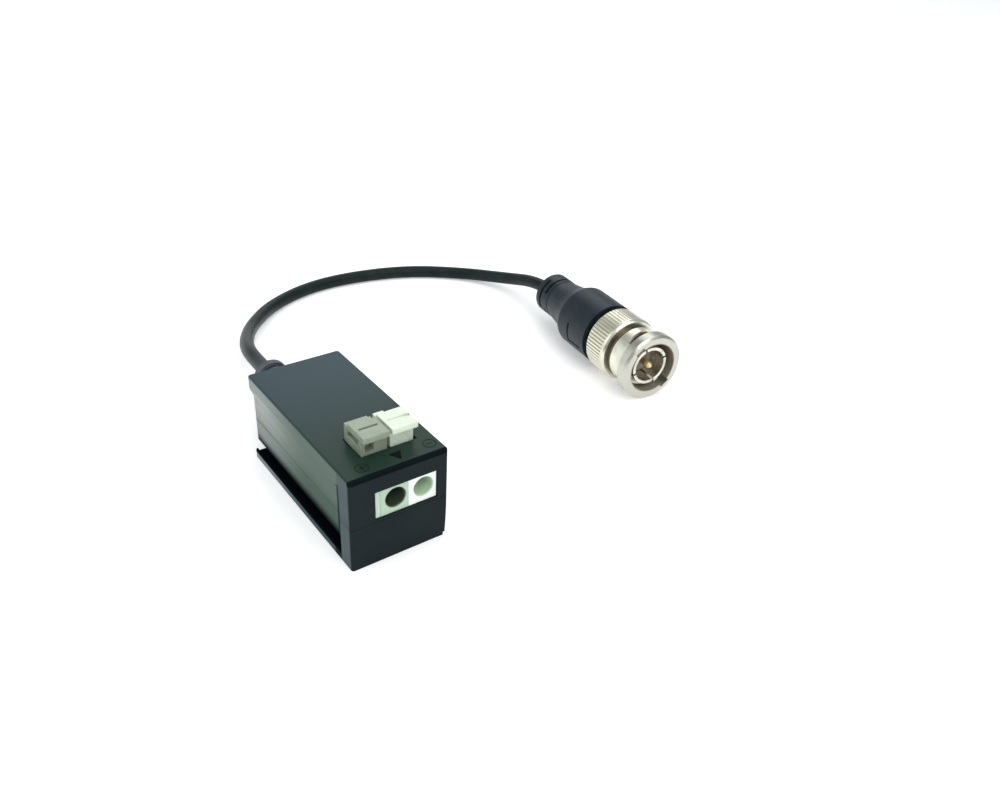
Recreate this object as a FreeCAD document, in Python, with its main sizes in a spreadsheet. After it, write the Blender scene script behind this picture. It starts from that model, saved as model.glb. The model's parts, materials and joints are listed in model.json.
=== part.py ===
import FreeCAD, Part
import math
import os
import re

import Sketcher

# A passive video balun: a two-shell housing with a push-in terminal, and a short coaxial
# lead that ends in a bayonet video plug. The housing stands on z = 0 with its middle at
# x = y = 0. The terminal looks along -Y, and the lead leaves along +Y.

# Driving sizes in millimetres and degrees. Each one is a cell of the spreadsheet.
SIZES = {
    # Housing
    "case_width": 18.0,
    "case_length": 38.0,
    "case_height": 17.6,
    "case_wall": 1.2,
    "parting_height": 8.2,
    "corner_round": 0.5,
    "rim_round": 0.3,
    "board_margin": 0.1,
    "ledge_width": 1.6,
    "shelf_wall": 1.0,
    "tongue_wall": 0.55,
    "tongue_lift": 0.2,
    "tongue_rise": 0.9,
    "tongue_length": 22.0,
    # Joining rail along the left side
    "side_recess": 0.8,
    "band_length": 3.6,
    "groove_width": 0.75,
    "groove_depth": 0.6,
    "top_band": 2.5,
    "band_bevel": 2.1,
    "rail_floor": 1.0,
    "rail_gap": 2.5,
    "rail_depth": 2.6,
    "lip_height": 0.6,
    "lip_width": 0.5,
    # Plain right side of the base
    "side_draft": 0.45,
    "foot_height": 0.6,
    "foot_inset": 0.35,
    # Terminal
    "board_thickness": 1.6,
    "pole_pitch": 5.2,
    "pole_margin": 0.93,
    "pole_inset": 0.25,
    "pole_length": 11.4,
    "pole_gap": 0.6,
    "pole_step": 0.1,
    "pole_wall": 0.8,
    "pole_floor": 1.1,
    "lintel_height": 1.4,
    "pole_front_wall": 4.3,
    "plate_thickness": 0.9,
    "window_low": 8.7,
    "window_drop": 3.55,
    "window_gap": 0.08,
    "entry_rise": 0.175,
    "entry_offset": 0.24,
    "entry_share": 0.66,
    "entry_bevel": 0.22,
    # Release levers
    "lever_width": 4.7,
    "lever_side_gap": 0.4,
    "lever_front": 5.0,
    "lever_length": 5.6,
    "lever_head": 1.1,
    "lever_head_length": 5.3,
    "lever_overhang": 0.9,
    "lever_rise": 3.8,
    "lever_sink": 0.1,
    "lever_travel": 1.4,
    "lever_slot": 0.45,
    "lever_slot_depth": 0.8,
    "slot_margin": 0.65,
    "slot_shift": 1.85,
    "finger_notch": 0.7,
    "finger_depth": 1.0,
    "foot_lip": 0.35,
    "foot_reach": 1.3,
    "slope_reach": 1.5,
    "recess_width": 1.6,
    "recess_depth": 1.6,
    "recess_margin": 0.7,
    "recess_rise": 0.5,
    "side_window_depth": 0.9,
    "side_window_low": 1.5,
    "side_window_inset": 0.9,
    "tab_width": 0.6,
    "tab_length": 0.7,
    "stem_gap": 0.2,
    "stem_inset": 0.5,
    "stem_drop": 2.9,
    "stem_length": 4.6,
    "stop_height": 1.2,
    "stop_reach": 0.8,
    "opening_gap": 0.25,
    # Contacts and springs
    "contact_thickness": 0.8,
    "contact_width": 2.4,
    "contact_shift": 0.2,
    "contact_drop": 0.3,
    "pin_width": 1.0,
    "pin_reach": 2.4,
    "pin_gap": 0.1,
    "pin_inset": 2.2,
    "spring_thickness": 0.3,
    "spring_width": 2.2,
    "spring_rise": 0.9,
    "spring_tip_rise": 0.25,
    "spring_tip_inset": 2.4,
    # Parts on the board
    "core_outer_diameter": 9.0,
    "core_inner_diameter": 4.6,
    "core_height": 3.6,
    "core_y": 2.0,
    "core_x": 0.4,
    "turn_wire": 0.5,
    "turn_count": 10.0,
    "suppressor_length": 4.4,
    "suppressor_width": 3.6,
    "suppressor_height": 2.3,
    "suppressor_side": 3.9,
    "suppressor_inset": 6.3,
    "suppressor_lift": 0.1,
    "cap_reach": 0.3,
    "cap_height": 0.9,
    "cap_width": 2.0,
    "chip_length": 2.0,
    "chip_width": 1.25,
    "chip_height": 0.8,
    "chip_y": 4.6,
    "chip_left": 4.6,
    "chip_right": 2.4,
    # Strain relief
    "relief_x": -1.4,
    "relief_z": 11.0,
    "relief_diameter": 6.6,
    "relief_length": 8.5,
    "relief_flange": 1.2,
    "relief_neck": 5.2,
    "relief_sleeve": 6.0,
    "ring_slot": 0.7,
    "ring_pitch": 1.5,
    "ring_step": 1.72,
    "ring_core": 4.0,
    "ring_sweep": 84.0,
    "tail_reach": 7.3,
    "tail_bare": 2.5,
    # Lead
    "cable_diameter": 3.0,
    "wire_diameter": 1.0,
    "core_wire": 0.8,
    "joint_overlap": 0.5,
    "cable_gap": 0.05,
    # Plug: distances along it count from the front face of the nut
    "plug_x": 69.64,
    "plug_y": -4.99,
    "plug_turn": -7.0,
    "nut_diameter": 14.4,
    "nut_length": 14.9,
    "nut_bore": 11.0,
    "rim_diameter": 14.8,
    "rim_length": 2.9,
    "rim_bevel": 0.5,
    "neck_diameter": 12.4,
    "nut_groove": 12.0,
    "groove_start": 6.9,
    "strip_start": 8.2,
    "collar_diameter": 13.6,
    "sleeve_start": 8.9,
    "knurl_start": 9.3,
    "web_start": 10.8,
    "web_length": 1.6,
    "rear_bore": 12.2,
    "knurl_count": 60.0,
    "knurl_depth": 0.24,
    "knurl_width": 0.31,
    "lug_slot": 2.2,
    "lug_lead": 3.0,
    "lug_sweep": 95.0,
    "lug_angle": 40.0,
    "lug_start": 2.2,
    "lug_rise": 2.3,
    "lug_channel": 0.65,
    "lug_overcut": 0.35,
    "running_gap": 0.08,
    "hub_diameter": 9.0,
    "flange_diameter": 10.4,
    "flange_start": 8.2,
    "flange_length": 1.2,
    "contact_seat": 0.6,
    "boot_front": 16.2,
    "hub_length": 24.0,
    "anchor_diameter": 11.0,
    "anchor_inset": 1.2,
    "anchor_length": 1.4,
    "washer_thickness": 0.4,
    "ring_thickness": 0.6,
    "ring_diameter": 10.6,
    "ring_seat": 0.45,
    "ring_play": 0.05,
    "ring_mouth": 3.0,
    "gasket_thickness": 1.0,
    "contact_diameter": 8.7,
    "contact_wall": 0.75,
    "contact_front": 1.0,
    "contact_angle": 20.0,
    "contact_bevel": 0.1,
    "slit_width": 0.45,
    "slit_length": 5.4,
    "slit_count": 4.0,
    "insulator_front": 5.2,
    "insulator_end": 13.5,
    "centre_pin_diameter": 1.37,
    "centre_pin_front": 0.8,
    "centre_pin_bevel": 0.5,
    "stem_diameter": 4.8,
    "stem_wall": 0.35,
    "stem_end": 29.6,
    "ferrule_diameter": 6.2,
    "ferrule_start": 24.6,
    "ferrule_length": 4.9,
    "boot_diameter": 14.2,
    "shoulder_start": 26.4,
    "shoulder_end": 30.0,
    "taper_diameter": 10.9,
    "taper_end": 35.3,
    "collar_root": 9.4,
    "boot_collar": 9.6,
    "boot_end": 40.2,
    "boot_round": 1.5,
    "boot_slot": 0.6,
    "boot_slot_start": 36.3,
    "boot_slot_pitch": 1.7,
    "boot_slot_core": 6.2,
    "boot_sweep": 130.0,
    "boot_edge": 0.25,
}

# Places that follow from the driving sizes, named once and used by every part they touch.
PLACES = {
    "side": "case_width / 2",
    "front": "0 - case_length / 2",
    "rear": "case_length / 2",
    "room_left": "0 - case_width / 2 + side_recess + case_wall",
    "room_right": "case_width / 2 - case_wall",
    "room_front": "0 - case_length / 2 + case_wall",
    "room_rear": "case_length / 2 - case_wall",
    "room_top": "case_height - case_wall",
    "wall_left": "0 - case_width / 2 + side_recess",
    "band_end": "0 - case_length / 2 + band_length",
    "rail_top": "rail_floor + rail_gap",
    "board_low": "rail_floor + rail_gap + shelf_wall",
    "board_top": "rail_floor + rail_gap + shelf_wall + board_thickness",
    "pole_front": "0 - case_length / 2 + pole_inset",
    "pole_rear": "pole_front + pole_length",
    "pole_top": "room_top - pole_gap",
    "pole_nose": "room_front + pole_step",
    "lintel_low": "pole_top - lintel_height",
    "window_high": "case_height - window_drop",
    "entry_height": "(window_low + window_high) / 2 + entry_rise",
    "entry_bore": "(window_high - window_low) * entry_share",
    "head_low": "lever_top - lever_head",
    "pole_back_low": "pole_top - stop_height - lever_travel - stem_gap",
    "pocket_front": "pole_front + pole_front_wall",
    "pocket_rear": "pole_front + pole_length - pole_wall",
    "pocket_floor": "board_top + pole_floor",
    "pole_split": "room_right - pole_pitch - pole_margin",
    "terminal_left": "pole_split - pole_pitch - plate_thickness",
    "terminal_right": "pole_split + pole_pitch",
    "lever_y": "pole_front + lever_front",
    "lever_top": "case_height + lever_rise",
    "lever_foot": "case_height - lever_sink",
    "head_front": "lever_y - lever_overhang",
    "head_back": "lever_y - lever_overhang + lever_head_length",
    "lever_back": "pole_front + lever_front + lever_length",
    "stem_front": "lever_y + stem_inset",
    "stem_back": "stem_front + stem_length",
    "opening_left": "pole_split - pole_pitch - lever_side_gap - opening_gap",
    "opening_right": "pole_split - lever_side_gap + lever_width + opening_gap",
    "contact_top": "entry_height - entry_bore / 2 - contact_drop",
    "pin_y": "pocket_rear - pin_inset",
    "nut_radius": "nut_diameter / 2",
    "plug_height": "rim_diameter / 2",
    "cable_bore": "cable_diameter / 2 + cable_gap",
    "relief_end": "case_length / 2 + relief_length",
    "hub_radius": "hub_diameter / 2",
    "ring_start": "web_start + web_length + cable_gap",
    "ring_back": "ring_start + ring_thickness + ring_play",
    "anchor_front": "boot_front + anchor_inset",
    "anchor_back": "boot_front + anchor_inset + anchor_length",
    "contact_bore": "contact_diameter / 2 - contact_wall",
    "contact_back": "flange_start + contact_seat",
    "crimp_bore": "ferrule_diameter / 2 + cable_gap",
    "tail_y": "room_rear - tail_reach",
    "relief_front": "room_rear - relief_flange",
    "suppressor_x": "room_right - suppressor_side",
}

# Control points of the lead, from the strain relief to the plug's boot. The first and last
# are worked out from those two pieces.
LEAD_BENDS = [
    (-1.4, 33.0, 11.0),
    (0.1, 42.5, 9.0),
    (3.7, 52.4, 6.0),
    (9.3, 63.2, 3.0),
    (18.6, 73.4, 1.5),
    (31.0, 78.2, 1.5),
    (44.0, 78.0, 1.5),
    (57.8, 74.2, 1.5),
    (69.4, 65.9, 1.5),
    (75.2, 55.2, 3.0),
]
LAST_RUN = 6.6

# Share of the shorter run that a bend takes up on each side.
BEND_SHARE = 0.45

document = FreeCAD.newDocument("VideoBalun")
sheet = document.addObject("Spreadsheet::Sheet", "Sizes")
for row, (alias, number) in enumerate(SIZES.items(), start=1):
    sheet.set("A%d" % row, str(number))
    sheet.setAlias("A%d" % row, alias)
document.recompute()

pieces = []


def bind(text):
    """Write an expression with every named place and size in full."""

    def full(match):
        word = match.group()
        if word in PLACES:
            return "(" + bind(PLACES[word]) + ")"
        if word in SIZES:
            return "Sizes." + word
        return word

    return re.sub(r"[a-z_][a-z_0-9]*", full, text)


def value(text):
    """Work out an expression as a plain number."""
    result = sheet.evalExpression(bind(text))
    return float(getattr(result, "Value", result))


def origin_feature(body, role):
    """Find a plane or an axis of a body's own origin."""
    return [item for item in body.Origin.OriginFeatures if item.Role == role][0]


def new_body(label, base=None, turn=None):
    """Start a piece. Its base point and its turn about Z are expressions."""
    body = document.addObject("PartDesign::Body", label)
    body.Label = label
    if base:
        for axis, text in zip("xyz", base):
            body.setExpression("Placement.Base." + axis, bind(text))
    if turn:
        body.Placement.Rotation = FreeCAD.Rotation(FreeCAD.Vector(0, 0, 1), value(turn))
        body.setExpression("Placement.Rotation.Angle", bind(turn))
    pieces.append(body)
    return body


def new_sketch(body, plane, place="0", tilt=None):
    """Attach a sketch to an origin plane, moved to a place and turned about the Y axis."""
    sketch = body.newObject("Sketcher::SketchObject", body.Label + "_outline")
    sketch.AttachmentSupport = [(origin_feature(body, plane), "")]
    sketch.MapMode = "FlatFace"
    shift = "0 - (" + place + ")" if plane == "XZ_Plane" else place
    if tilt:
        axis = FreeCAD.Vector(0, 0, 1) if plane == "XZ_Plane" else FreeCAD.Vector(-1, 0, 0)
        turn = FreeCAD.Rotation(axis, value(tilt))
        sketch.AttachmentOffset = FreeCAD.Placement(FreeCAD.Vector(0, 0, 0), turn)
        sketch.setExpression("AttachmentOffset.Rotation.Angle", bind(tilt))
    sketch.setExpression("AttachmentOffset.Base.z", bind(shift))
    return sketch


def pin_point(sketch, geometry, vertex, across, up):
    """Hold one vertex of a sketch at two expressions."""
    for kind, axis, text in (("DistanceX", -2, across), ("DistanceY", -1, up)):
        if text == "0":
            sketch.addConstraint(Sketcher.Constraint("PointOnObject", geometry, vertex, axis))
        else:
            rule = Sketcher.Constraint(kind, -1, 1, geometry, vertex, value(text))
            index = sketch.addConstraint(rule)
            sketch.setExpression("Constraints[%d]" % index, bind(text))


def draw_polygon(sketch, corners):
    """Draw a closed polygon whose corners are pairs of expressions."""
    points = [FreeCAD.Vector(value(across), value(up), 0) for across, up in corners]
    first = sketch.GeometryCount
    last = first + len(corners) - 1
    for index, point in enumerate(points):
        sketch.addGeometry(Part.LineSegment(point, points[(index + 1) % len(points)]), False)
    for index in range(first, last + 1):
        following = first if index == last else index + 1
        sketch.addConstraint(Sketcher.Constraint("Coincident", index, 2, following, 1))
    for index, (across, up) in enumerate(corners):
        pin_point(sketch, first + index, 1, across, up)


def draw_box(sketch, left, right, low, high):
    """Draw a rectangle between four expressions."""
    draw_polygon(sketch, [(left, low), (right, low), (right, high), (left, high)])


def draw_circle(sketch, across, up, diameter):
    """Draw a circle at two expressions."""
    centre = FreeCAD.Vector(value(across), value(up), 0)
    circle = Part.Circle(centre, FreeCAD.Vector(0, 0, 1), value(diameter) / 2)
    geometry = sketch.addGeometry(circle, False)
    pin_point(sketch, geometry, 3, across, up)
    index = sketch.addConstraint(Sketcher.Constraint("Radius", geometry, value(diameter) / 2))
    sketch.setExpression("Constraints[%d]" % index, bind("(" + diameter + ") / 2"))


def add_feature(body, kind, sketch, **settings):
    """Add a feature made from a sketch and check that it changes the body."""
    before = body.Shape.Volume if body.Tip else 0.0
    feature = body.newObject("PartDesign::" + kind, body.Label + "_" + kind.lower())
    if sketch:
        feature.Profile = sketch
    for name, setting in settings.items():
        setattr(feature, name, setting)
    document.recompute()
    if abs(body.Shape.Volume - before) < 1e-6:
        raise RuntimeError("%s changes nothing" % feature.Label)
    return feature


def extrude(body, kind, plane, start, end, draw, *corners, tilt=None):
    """Pad or pocket what draw makes on a plane, from start to end along that plane's axis."""
    sketch = new_sketch(body, plane, start, tilt)
    draw(sketch, *corners)
    forward = (kind == "Pad") != (plane == "XZ_Plane")
    feature = add_feature(body, kind, sketch, Reversed=not forward,
                          Length=value("(%s) - (%s)" % (end, start)))
    feature.setExpression("Length", bind("(%s) - (%s)" % (end, start)))
    return feature


def pad(body, plane, start, end, draw, *corners):
    """Add a straight solid between two places."""
    return extrude(body, "Pad", plane, start, end, draw, *corners)


def pocket(body, plane, start, end, draw, *corners, tilt=None):
    """Cut a straight hollow between two places."""
    return extrude(body, "Pocket", plane, start, end, draw, *corners, tilt=tilt)


def revolve(body, kind, plane, axis, corners):
    """Turn a profile about a sketch axis."""
    sketch = new_sketch(body, plane)
    draw_polygon(sketch, corners)
    return add_feature(body, kind, sketch, ReferenceAxis=(sketch, [axis]), Angle=360.0)


def turned(body, corners):
    """Turn a profile of (distance along Y, radius) pairs about the body's Y axis."""
    return revolve(body, "Revolution", "YZ_Plane", "H_Axis", corners)


def pattern(body, originals, axis, count):
    """Repeat features about an axis of the body."""
    feature = body.newObject("PartDesign::PolarPattern", body.Label + "_pattern")
    feature.Originals = originals
    feature.Axis = (origin_feature(body, axis), [""])
    feature.Angle = 360.0
    feature.Occurrences = int(round(value(count)))
    feature.setExpression("Occurrences", bind(count))
    body.Tip = feature
    document.recompute()
    return feature


def edge_names(shape, wanted):
    """Name the edges of a shape that a test accepts."""
    return ["Edge%d" % (index + 1) for index, edge in enumerate(shape.Edges) if wanted(edge)]


def round_edges(body, wanted, radius, kind="Fillet"):
    """Round or bevel the edges that a test accepts."""
    base = body.Tip
    names = edge_names(base.Shape, wanted)
    feature = body.newObject("PartDesign::" + kind, body.Label + "_" + kind.lower())
    feature.Base = (base, names)
    size_name = "Radius" if kind == "Fillet" else "Size"
    setattr(feature, size_name, value(radius))
    feature.setExpression(size_name, bind(radius))
    document.recompute()
    return feature


def is_upright(edge):
    """Tell whether an edge is straight and vertical."""
    start, end = edge.Vertexes[0].Point, edge.Vertexes[-1].Point
    return math.hypot(start.x - end.x, start.y - end.y) < 1e-4 and abs(start.z - end.z) > 1e-3


def at_corner(edge):
    """Tell whether an upright edge is one of the housing's four outer corners."""
    middle = edge.CenterOfMass
    across = abs(abs(middle.x) - value("side")) < 1e-3
    along = abs(abs(middle.y) - value("rear")) < 1e-3
    return is_upright(edge) and across and along


def at_height(height):
    """Make a test for edges that lie level at one height."""
    return lambda edge: all(abs(point.Point.z - height) < 1e-4 for point in edge.Vertexes)


def on_ring(distance, radius):
    """Make a test for full circles about the Y axis at one distance and radius."""

    def wanted(edge):
        same = abs(edge.CenterOfMass.y - distance) < 1e-3
        return same and hasattr(edge.Curve, "Radius") and abs(edge.Curve.Radius - radius) < 1e-3

    return wanted


def cut_ring_slot(body, start, width, core, outer, sweep, upright):
    """Cut two opposite arcs of a ring slot and leave two bridges between them."""
    plane, axis = ("YZ_Plane", "H_Axis") if upright else ("XY_Plane", "V_Axis")
    for sign in ("", "0 - "):
        deep = "%s(%s) / 2" % (sign, core)
        reach = "%s((%s) / 2 + 1)" % (sign, outer)
        corners = [(start, deep), (start + " + " + width, deep),
                   (start + " + " + width, reach), (start, reach)]
        sketch = new_sketch(body, plane)
        draw_polygon(sketch, corners if upright else [(up, along) for along, up in corners])
        feature = add_feature(body, "Groove", sketch, ReferenceAxis=(sketch, [axis]),
                              Angle=value(sweep), Midplane=True)
        feature.setExpression("Angle", bind(sweep))


# Base shell

base = new_body("base_shell")
pad(base, "XY_Plane", "0", "parting_height", draw_box, "0 - side", "side", "front", "rear")
round_edges(base, at_corner, "corner_round")
pocket(base, "XZ_Plane", "band_end", "rear + 1", draw_polygon, [
    ("0 - side - 1", "parting_height + 1"), ("wall_left", "parting_height + 1"),
    ("wall_left", "rail_top"), ("0 - side + rail_depth", "rail_top"),
    ("0 - side + rail_depth", "rail_floor"), ("0 - side + lip_width", "rail_floor"),
    ("0 - side + lip_width", "rail_floor + lip_height"),
    ("0 - side - 1", "rail_floor + lip_height")])
pocket(base, "XZ_Plane", "band_end", "band_end + groove_width", draw_box,
       "0 - side - 1", "wall_left + groove_depth", "rail_floor", "parting_height + 1")
pocket(base, "XZ_Plane", "front - 1", "rear + 1", draw_polygon, [
    ("side", "parting_height"), ("side + 1", "parting_height"), ("side + 1", "0 - 1"),
    ("side - side_draft - foot_inset", "0 - 1"),
    ("side - side_draft - foot_inset", "foot_height"), ("side - side_draft", "foot_height")])
pocket(base, "XY_Plane", "board_low", "parting_height + 1", draw_box,
       "room_left", "room_right", "room_front", "room_rear")
pocket(base, "XY_Plane", "case_wall", "board_low + joint_overlap", draw_box,
       "0 - side + rail_depth + case_wall", "room_right - ledge_width",
       "room_front + ledge_width", "room_rear - ledge_width")
for inner, outer in (("room_left", "room_left + tongue_wall"),
                     ("room_right - tongue_wall", "room_right")):
    pad(base, "XY_Plane", "board_top + tongue_lift", "parting_height + tongue_rise", draw_box,
        inner, outer, "0 - tongue_length / 2", "tongue_length / 2")

# Top cover

cover = new_body("top_cover")
pad(cover, "XY_Plane", "parting_height", "case_height", draw_box,
    "0 - side", "side", "front", "rear")
round_edges(cover, at_corner, "corner_round")
round_edges(cover, at_height(value("case_height")), "rim_round")
pocket(cover, "XZ_Plane", "band_end", "rear + 1", draw_polygon, [
    ("0 - side - 1", "parting_height - 1"), ("wall_left", "parting_height - 1"),
    ("wall_left", "case_height - top_band - band_bevel"),
    ("0 - side", "case_height - top_band"), ("0 - side - 1", "case_height - top_band")])
pocket(cover, "XZ_Plane", "band_end", "band_end + groove_width", draw_box,
       "0 - side - 1", "wall_left + groove_depth", "parting_height - 1",
       "case_height - top_band")
pocket(cover, "XY_Plane", "parting_height - 1", "room_top", draw_box,
       "room_left", "room_right", "room_front", "room_rear")
pocket(cover, "XZ_Plane", "front - 1", "room_front + joint_overlap", draw_box,
       "terminal_left - window_gap", "terminal_right + window_gap",
       "window_low", "window_high")
pocket(cover, "XY_Plane", "room_top - joint_overlap", "case_height + 1", draw_box,
       "opening_left", "opening_right", "lever_y - opening_gap / 2", "lever_back + opening_gap")
pocket(cover, "XZ_Plane", "room_rear - joint_overlap", "rear + 1", draw_box,
       "relief_x - relief_neck / 2", "relief_x + relief_neck / 2",
       "parting_height - 1", "relief_z")
pocket(cover, "XZ_Plane", "room_rear - joint_overlap", "rear + 1", draw_circle,
       "relief_x", "relief_z", "relief_neck")

# Circuit board

board = new_body("circuit_board")
pad(board, "XY_Plane", "board_low", "board_top", draw_box,
    "room_left + board_margin", "room_right - board_margin",
    "room_front + board_margin", "room_rear - board_margin")
POLES = {"left": "pole_split - pole_pitch", "right": "pole_split"}


def pad_pole_outline(body, left, right):
    """Add the side outline that both poles and the end plate share."""
    pad(body, "YZ_Plane", left, right, draw_polygon, [
        ("pole_front", "window_low + window_gap"), ("pole_nose", "window_low + window_gap"),
        ("pole_nose", "board_top"), ("pole_rear", "board_top"),
        ("pole_rear", "pole_back_low"), ("pocket_rear", "pole_back_low"),
        ("pocket_rear", "pole_top"), ("pole_nose", "pole_top"),
        ("pole_nose", "window_high - window_gap"),
        ("pole_front", "window_high - window_gap")])


def pocket_pin(body, pole_x, low, high):
    """Cut the hole of one solder pin."""
    middle = pole_x + " + pole_pitch / 2"
    pocket(body, "XY_Plane", low, high, draw_box, middle + " - pin_width / 2 - pin_gap",
           middle + " + pin_width / 2 + pin_gap", "pin_y - pin_gap",
           "pin_y + contact_thickness + pin_gap")


def make_pole(side_name, pole_x):
    """Make the housing of one pole, open towards the end plate."""
    body = new_body("pole_body_" + side_name)
    right = pole_x + " + pole_pitch"
    entry_x = pole_x + " + pole_pitch / 2 + entry_offset"
    pad_pole_outline(body, pole_x, right)
    pocket(body, "YZ_Plane", pole_x + " - 1", right + " - pole_wall", draw_polygon, [
        ("pocket_front", "pocket_floor"), ("pocket_rear", "pocket_floor"),
        ("pocket_rear", "pole_top + 1"), ("lever_y - opening_gap", "pole_top + 1"),
        ("lever_y - opening_gap", "lintel_low"), ("pocket_front", "lintel_low")])
    pocket(body, "XZ_Plane", "pole_front - 1", "pocket_front + 1", draw_circle,
           entry_x, "entry_height", "entry_bore")
    pocket_pin(body, pole_x, "board_top - 1", "pocket_floor + 1")
    mouth = on_ring(value("pole_front"), value("entry_bore / 2"))
    round_edges(body, mouth, "entry_bevel", "Chamfer")
    return body


def start_lever(side_name, pole_x):
    """Make what both levers share: the head with its slot, the stem and the stop."""
    body = new_body("release_lever_" + side_name)
    left = "(" + pole_x + " - lever_side_gap)"
    right = "(" + left + " + lever_width)"
    pad(body, "XY_Plane", "head_low", "lever_top", draw_box, left, right,
        "head_front", "head_back")
    pad(body, "XY_Plane", "pole_top - stem_drop", "head_low + lever_head / 2", draw_box,
        pole_x + " + stem_gap", pole_x + " + pole_pitch - pole_wall - stem_gap",
        "stem_front", "stem_back")
    pad(body, "XY_Plane", "room_top - stem_gap - stop_height", "room_top - stem_gap", draw_box,
        pole_x + " + stem_gap + recess_margin",
        pole_x + " + pole_pitch - pole_wall - stem_gap - recess_margin",
        "stem_back - stem_gap", "pocket_rear + stop_reach")
    return body, left, right


def make_left_lever(pole_x):
    """Make the lever with the closed block: windows in its front and its side, and a tab."""
    body, left, right = start_lever("left", pole_x)
    pad(body, "XZ_Plane", "lever_y", "lever_back", draw_box,
        left, right, "lever_foot", "head_low + lever_head / 2")
    pocket(body, "XY_Plane", "lever_top - lever_slot_depth", "lever_top + 1", draw_box,
           left + " + slot_margin", right + " - slot_margin",
           "lever_y + slot_shift - lever_slot / 2", "lever_y + slot_shift + lever_slot / 2")
    pocket(body, "XZ_Plane", "lever_y - 1", "lever_y + recess_depth", draw_box,
           left + " + recess_margin", left + " + recess_margin + recess_width",
           "lever_foot + recess_rise", "head_low - recess_rise / 2")
    pocket(body, "YZ_Plane", left + " - 1", left + " + side_window_depth", draw_box,
           "lever_y + side_window_inset", "lever_back - side_window_inset",
           "lever_foot + side_window_low", "head_low - lever_sink")
    pocket(body, "XY_Plane", "head_low - 1", "lever_top + 1", draw_box,
           right + " - tab_width", right + " + 1", "head_back - tab_length", "lever_back + 1")
    return body


def make_right_lever(pole_x):
    """Make the lever with the sloping stem and the head that ends in two fingers."""
    body, left, right = start_lever("right", pole_x)
    foot_right = right + " - foot_reach"
    slope_top = foot_right + " - slope_reach"
    pad(body, "XZ_Plane", "lever_y", "lever_back", draw_polygon, [
        (left, "lever_foot"), (foot_right, "lever_foot"),
        (foot_right, "lever_foot + foot_lip"), (slope_top, "head_low - foot_lip"),
        (slope_top, "head_low + lever_head / 2"), (left, "head_low + lever_head / 2")])
    pocket(body, "XY_Plane", "lever_top - lever_slot_depth / 3", "lever_top + 1", draw_box,
           left + " + slot_margin", right + " + 1",
           "lever_y + slot_shift - lever_slot / 2", "lever_y + slot_shift + lever_slot / 2")
    pocket(body, "XY_Plane", "head_low - 1", "lever_top + 1", draw_box,
           right + " - finger_depth", right + " + 1",
           "lever_y + slot_shift - finger_notch / 2", "lever_y + slot_shift + finger_notch / 2")
    return body


def make_contact(side_name, pole_x):
    """Make the wire contact of one pole with its solder pin."""
    body = new_body("contact_bar_" + side_name)
    pin_middle = "(" + pole_x + " + pole_pitch / 2)"
    middle = "(" + pin_middle + " - contact_shift)"
    pad(body, "YZ_Plane", middle + " - contact_width / 2", middle + " + contact_width / 2",
        draw_polygon, [
            ("pocket_front", "contact_top - contact_thickness"),
            ("pin_y", "contact_top - contact_thickness"), ("pin_y", "pocket_floor"),
            ("pin_y + contact_thickness", "pocket_floor"),
            ("pin_y + contact_thickness", "contact_top"), ("pocket_front", "contact_top")])
    pad(body, "YZ_Plane", pin_middle + " - pin_width / 2", pin_middle + " + pin_width / 2",
        draw_box, "pin_y", "pin_y + contact_thickness", "board_low - pin_reach",
        "pocket_floor + joint_overlap")
    return body


def make_spring(side_name, pole_x):
    """Make the leaf spring that grips the wire: a foot, a rear bend and a gripping leg."""
    body = new_body("clamp_spring_" + side_name)
    middle = "(" + pole_x + " + pole_pitch / 2 - contact_shift)"
    foot = "pin_y + contact_thickness"
    tip = "pocket_front + spring_tip_inset"
    bend = "contact_top + spring_rise"
    pad(body, "YZ_Plane", middle + " - spring_width / 2", middle + " + spring_width / 2",
        draw_polygon, [
            (foot, "pocket_floor"), ("pocket_rear", "pocket_floor"),
            ("pocket_rear", bend), (tip, "contact_top + spring_tip_rise"),
            (tip, "contact_top"),
            ("pocket_rear - spring_thickness", bend + " - spring_thickness"),
            ("pocket_rear - spring_thickness", "pocket_floor + spring_thickness"),
            (foot, "pocket_floor + spring_thickness")])
    return body


for side_name, pole_x in POLES.items():
    pocket_pin(board, pole_x, "board_low - 1", "board_top + 1")
    make_pole(side_name, pole_x)
    make_contact(side_name, pole_x)
    make_spring(side_name, pole_x)
make_left_lever(POLES["left"])
make_right_lever(POLES["right"])

plate = new_body("terminal_end_plate")
pad_pole_outline(plate, "terminal_left", "terminal_left + plate_thickness")

# Parts on the board

CORE_BASE = ("core_x", "core_y", "board_top + turn_wire")
core = new_body("balun_core", CORE_BASE)
revolve(core, "Revolution", "XZ_Plane", "V_Axis", [
    ("core_inner_diameter / 2", "0"), ("core_outer_diameter / 2", "0"),
    ("core_outer_diameter / 2", "core_height"), ("core_inner_diameter / 2", "core_height")])

winding = new_body("balun_winding", CORE_BASE)
inner_wire = "core_inner_diameter / 2 - cable_gap"
outer_wire = "core_outer_diameter / 2 + cable_gap"
frame_sketch = new_sketch(winding, "XZ_Plane", "0 - turn_wire / 2")
draw_box(frame_sketch, inner_wire + " - turn_wire", outer_wire + " + turn_wire",
         "0 - turn_wire", "core_height + turn_wire + cable_gap")
draw_box(frame_sketch, inner_wire, outer_wire, "0 - cable_gap", "core_height + cable_gap")
turn = add_feature(winding, "Pad", frame_sketch, Reversed=True, Length=value("turn_wire"))
turn.setExpression("Length", bind("turn_wire"))
pattern(winding, [turn], "Z_Axis", "turn_count")

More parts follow.
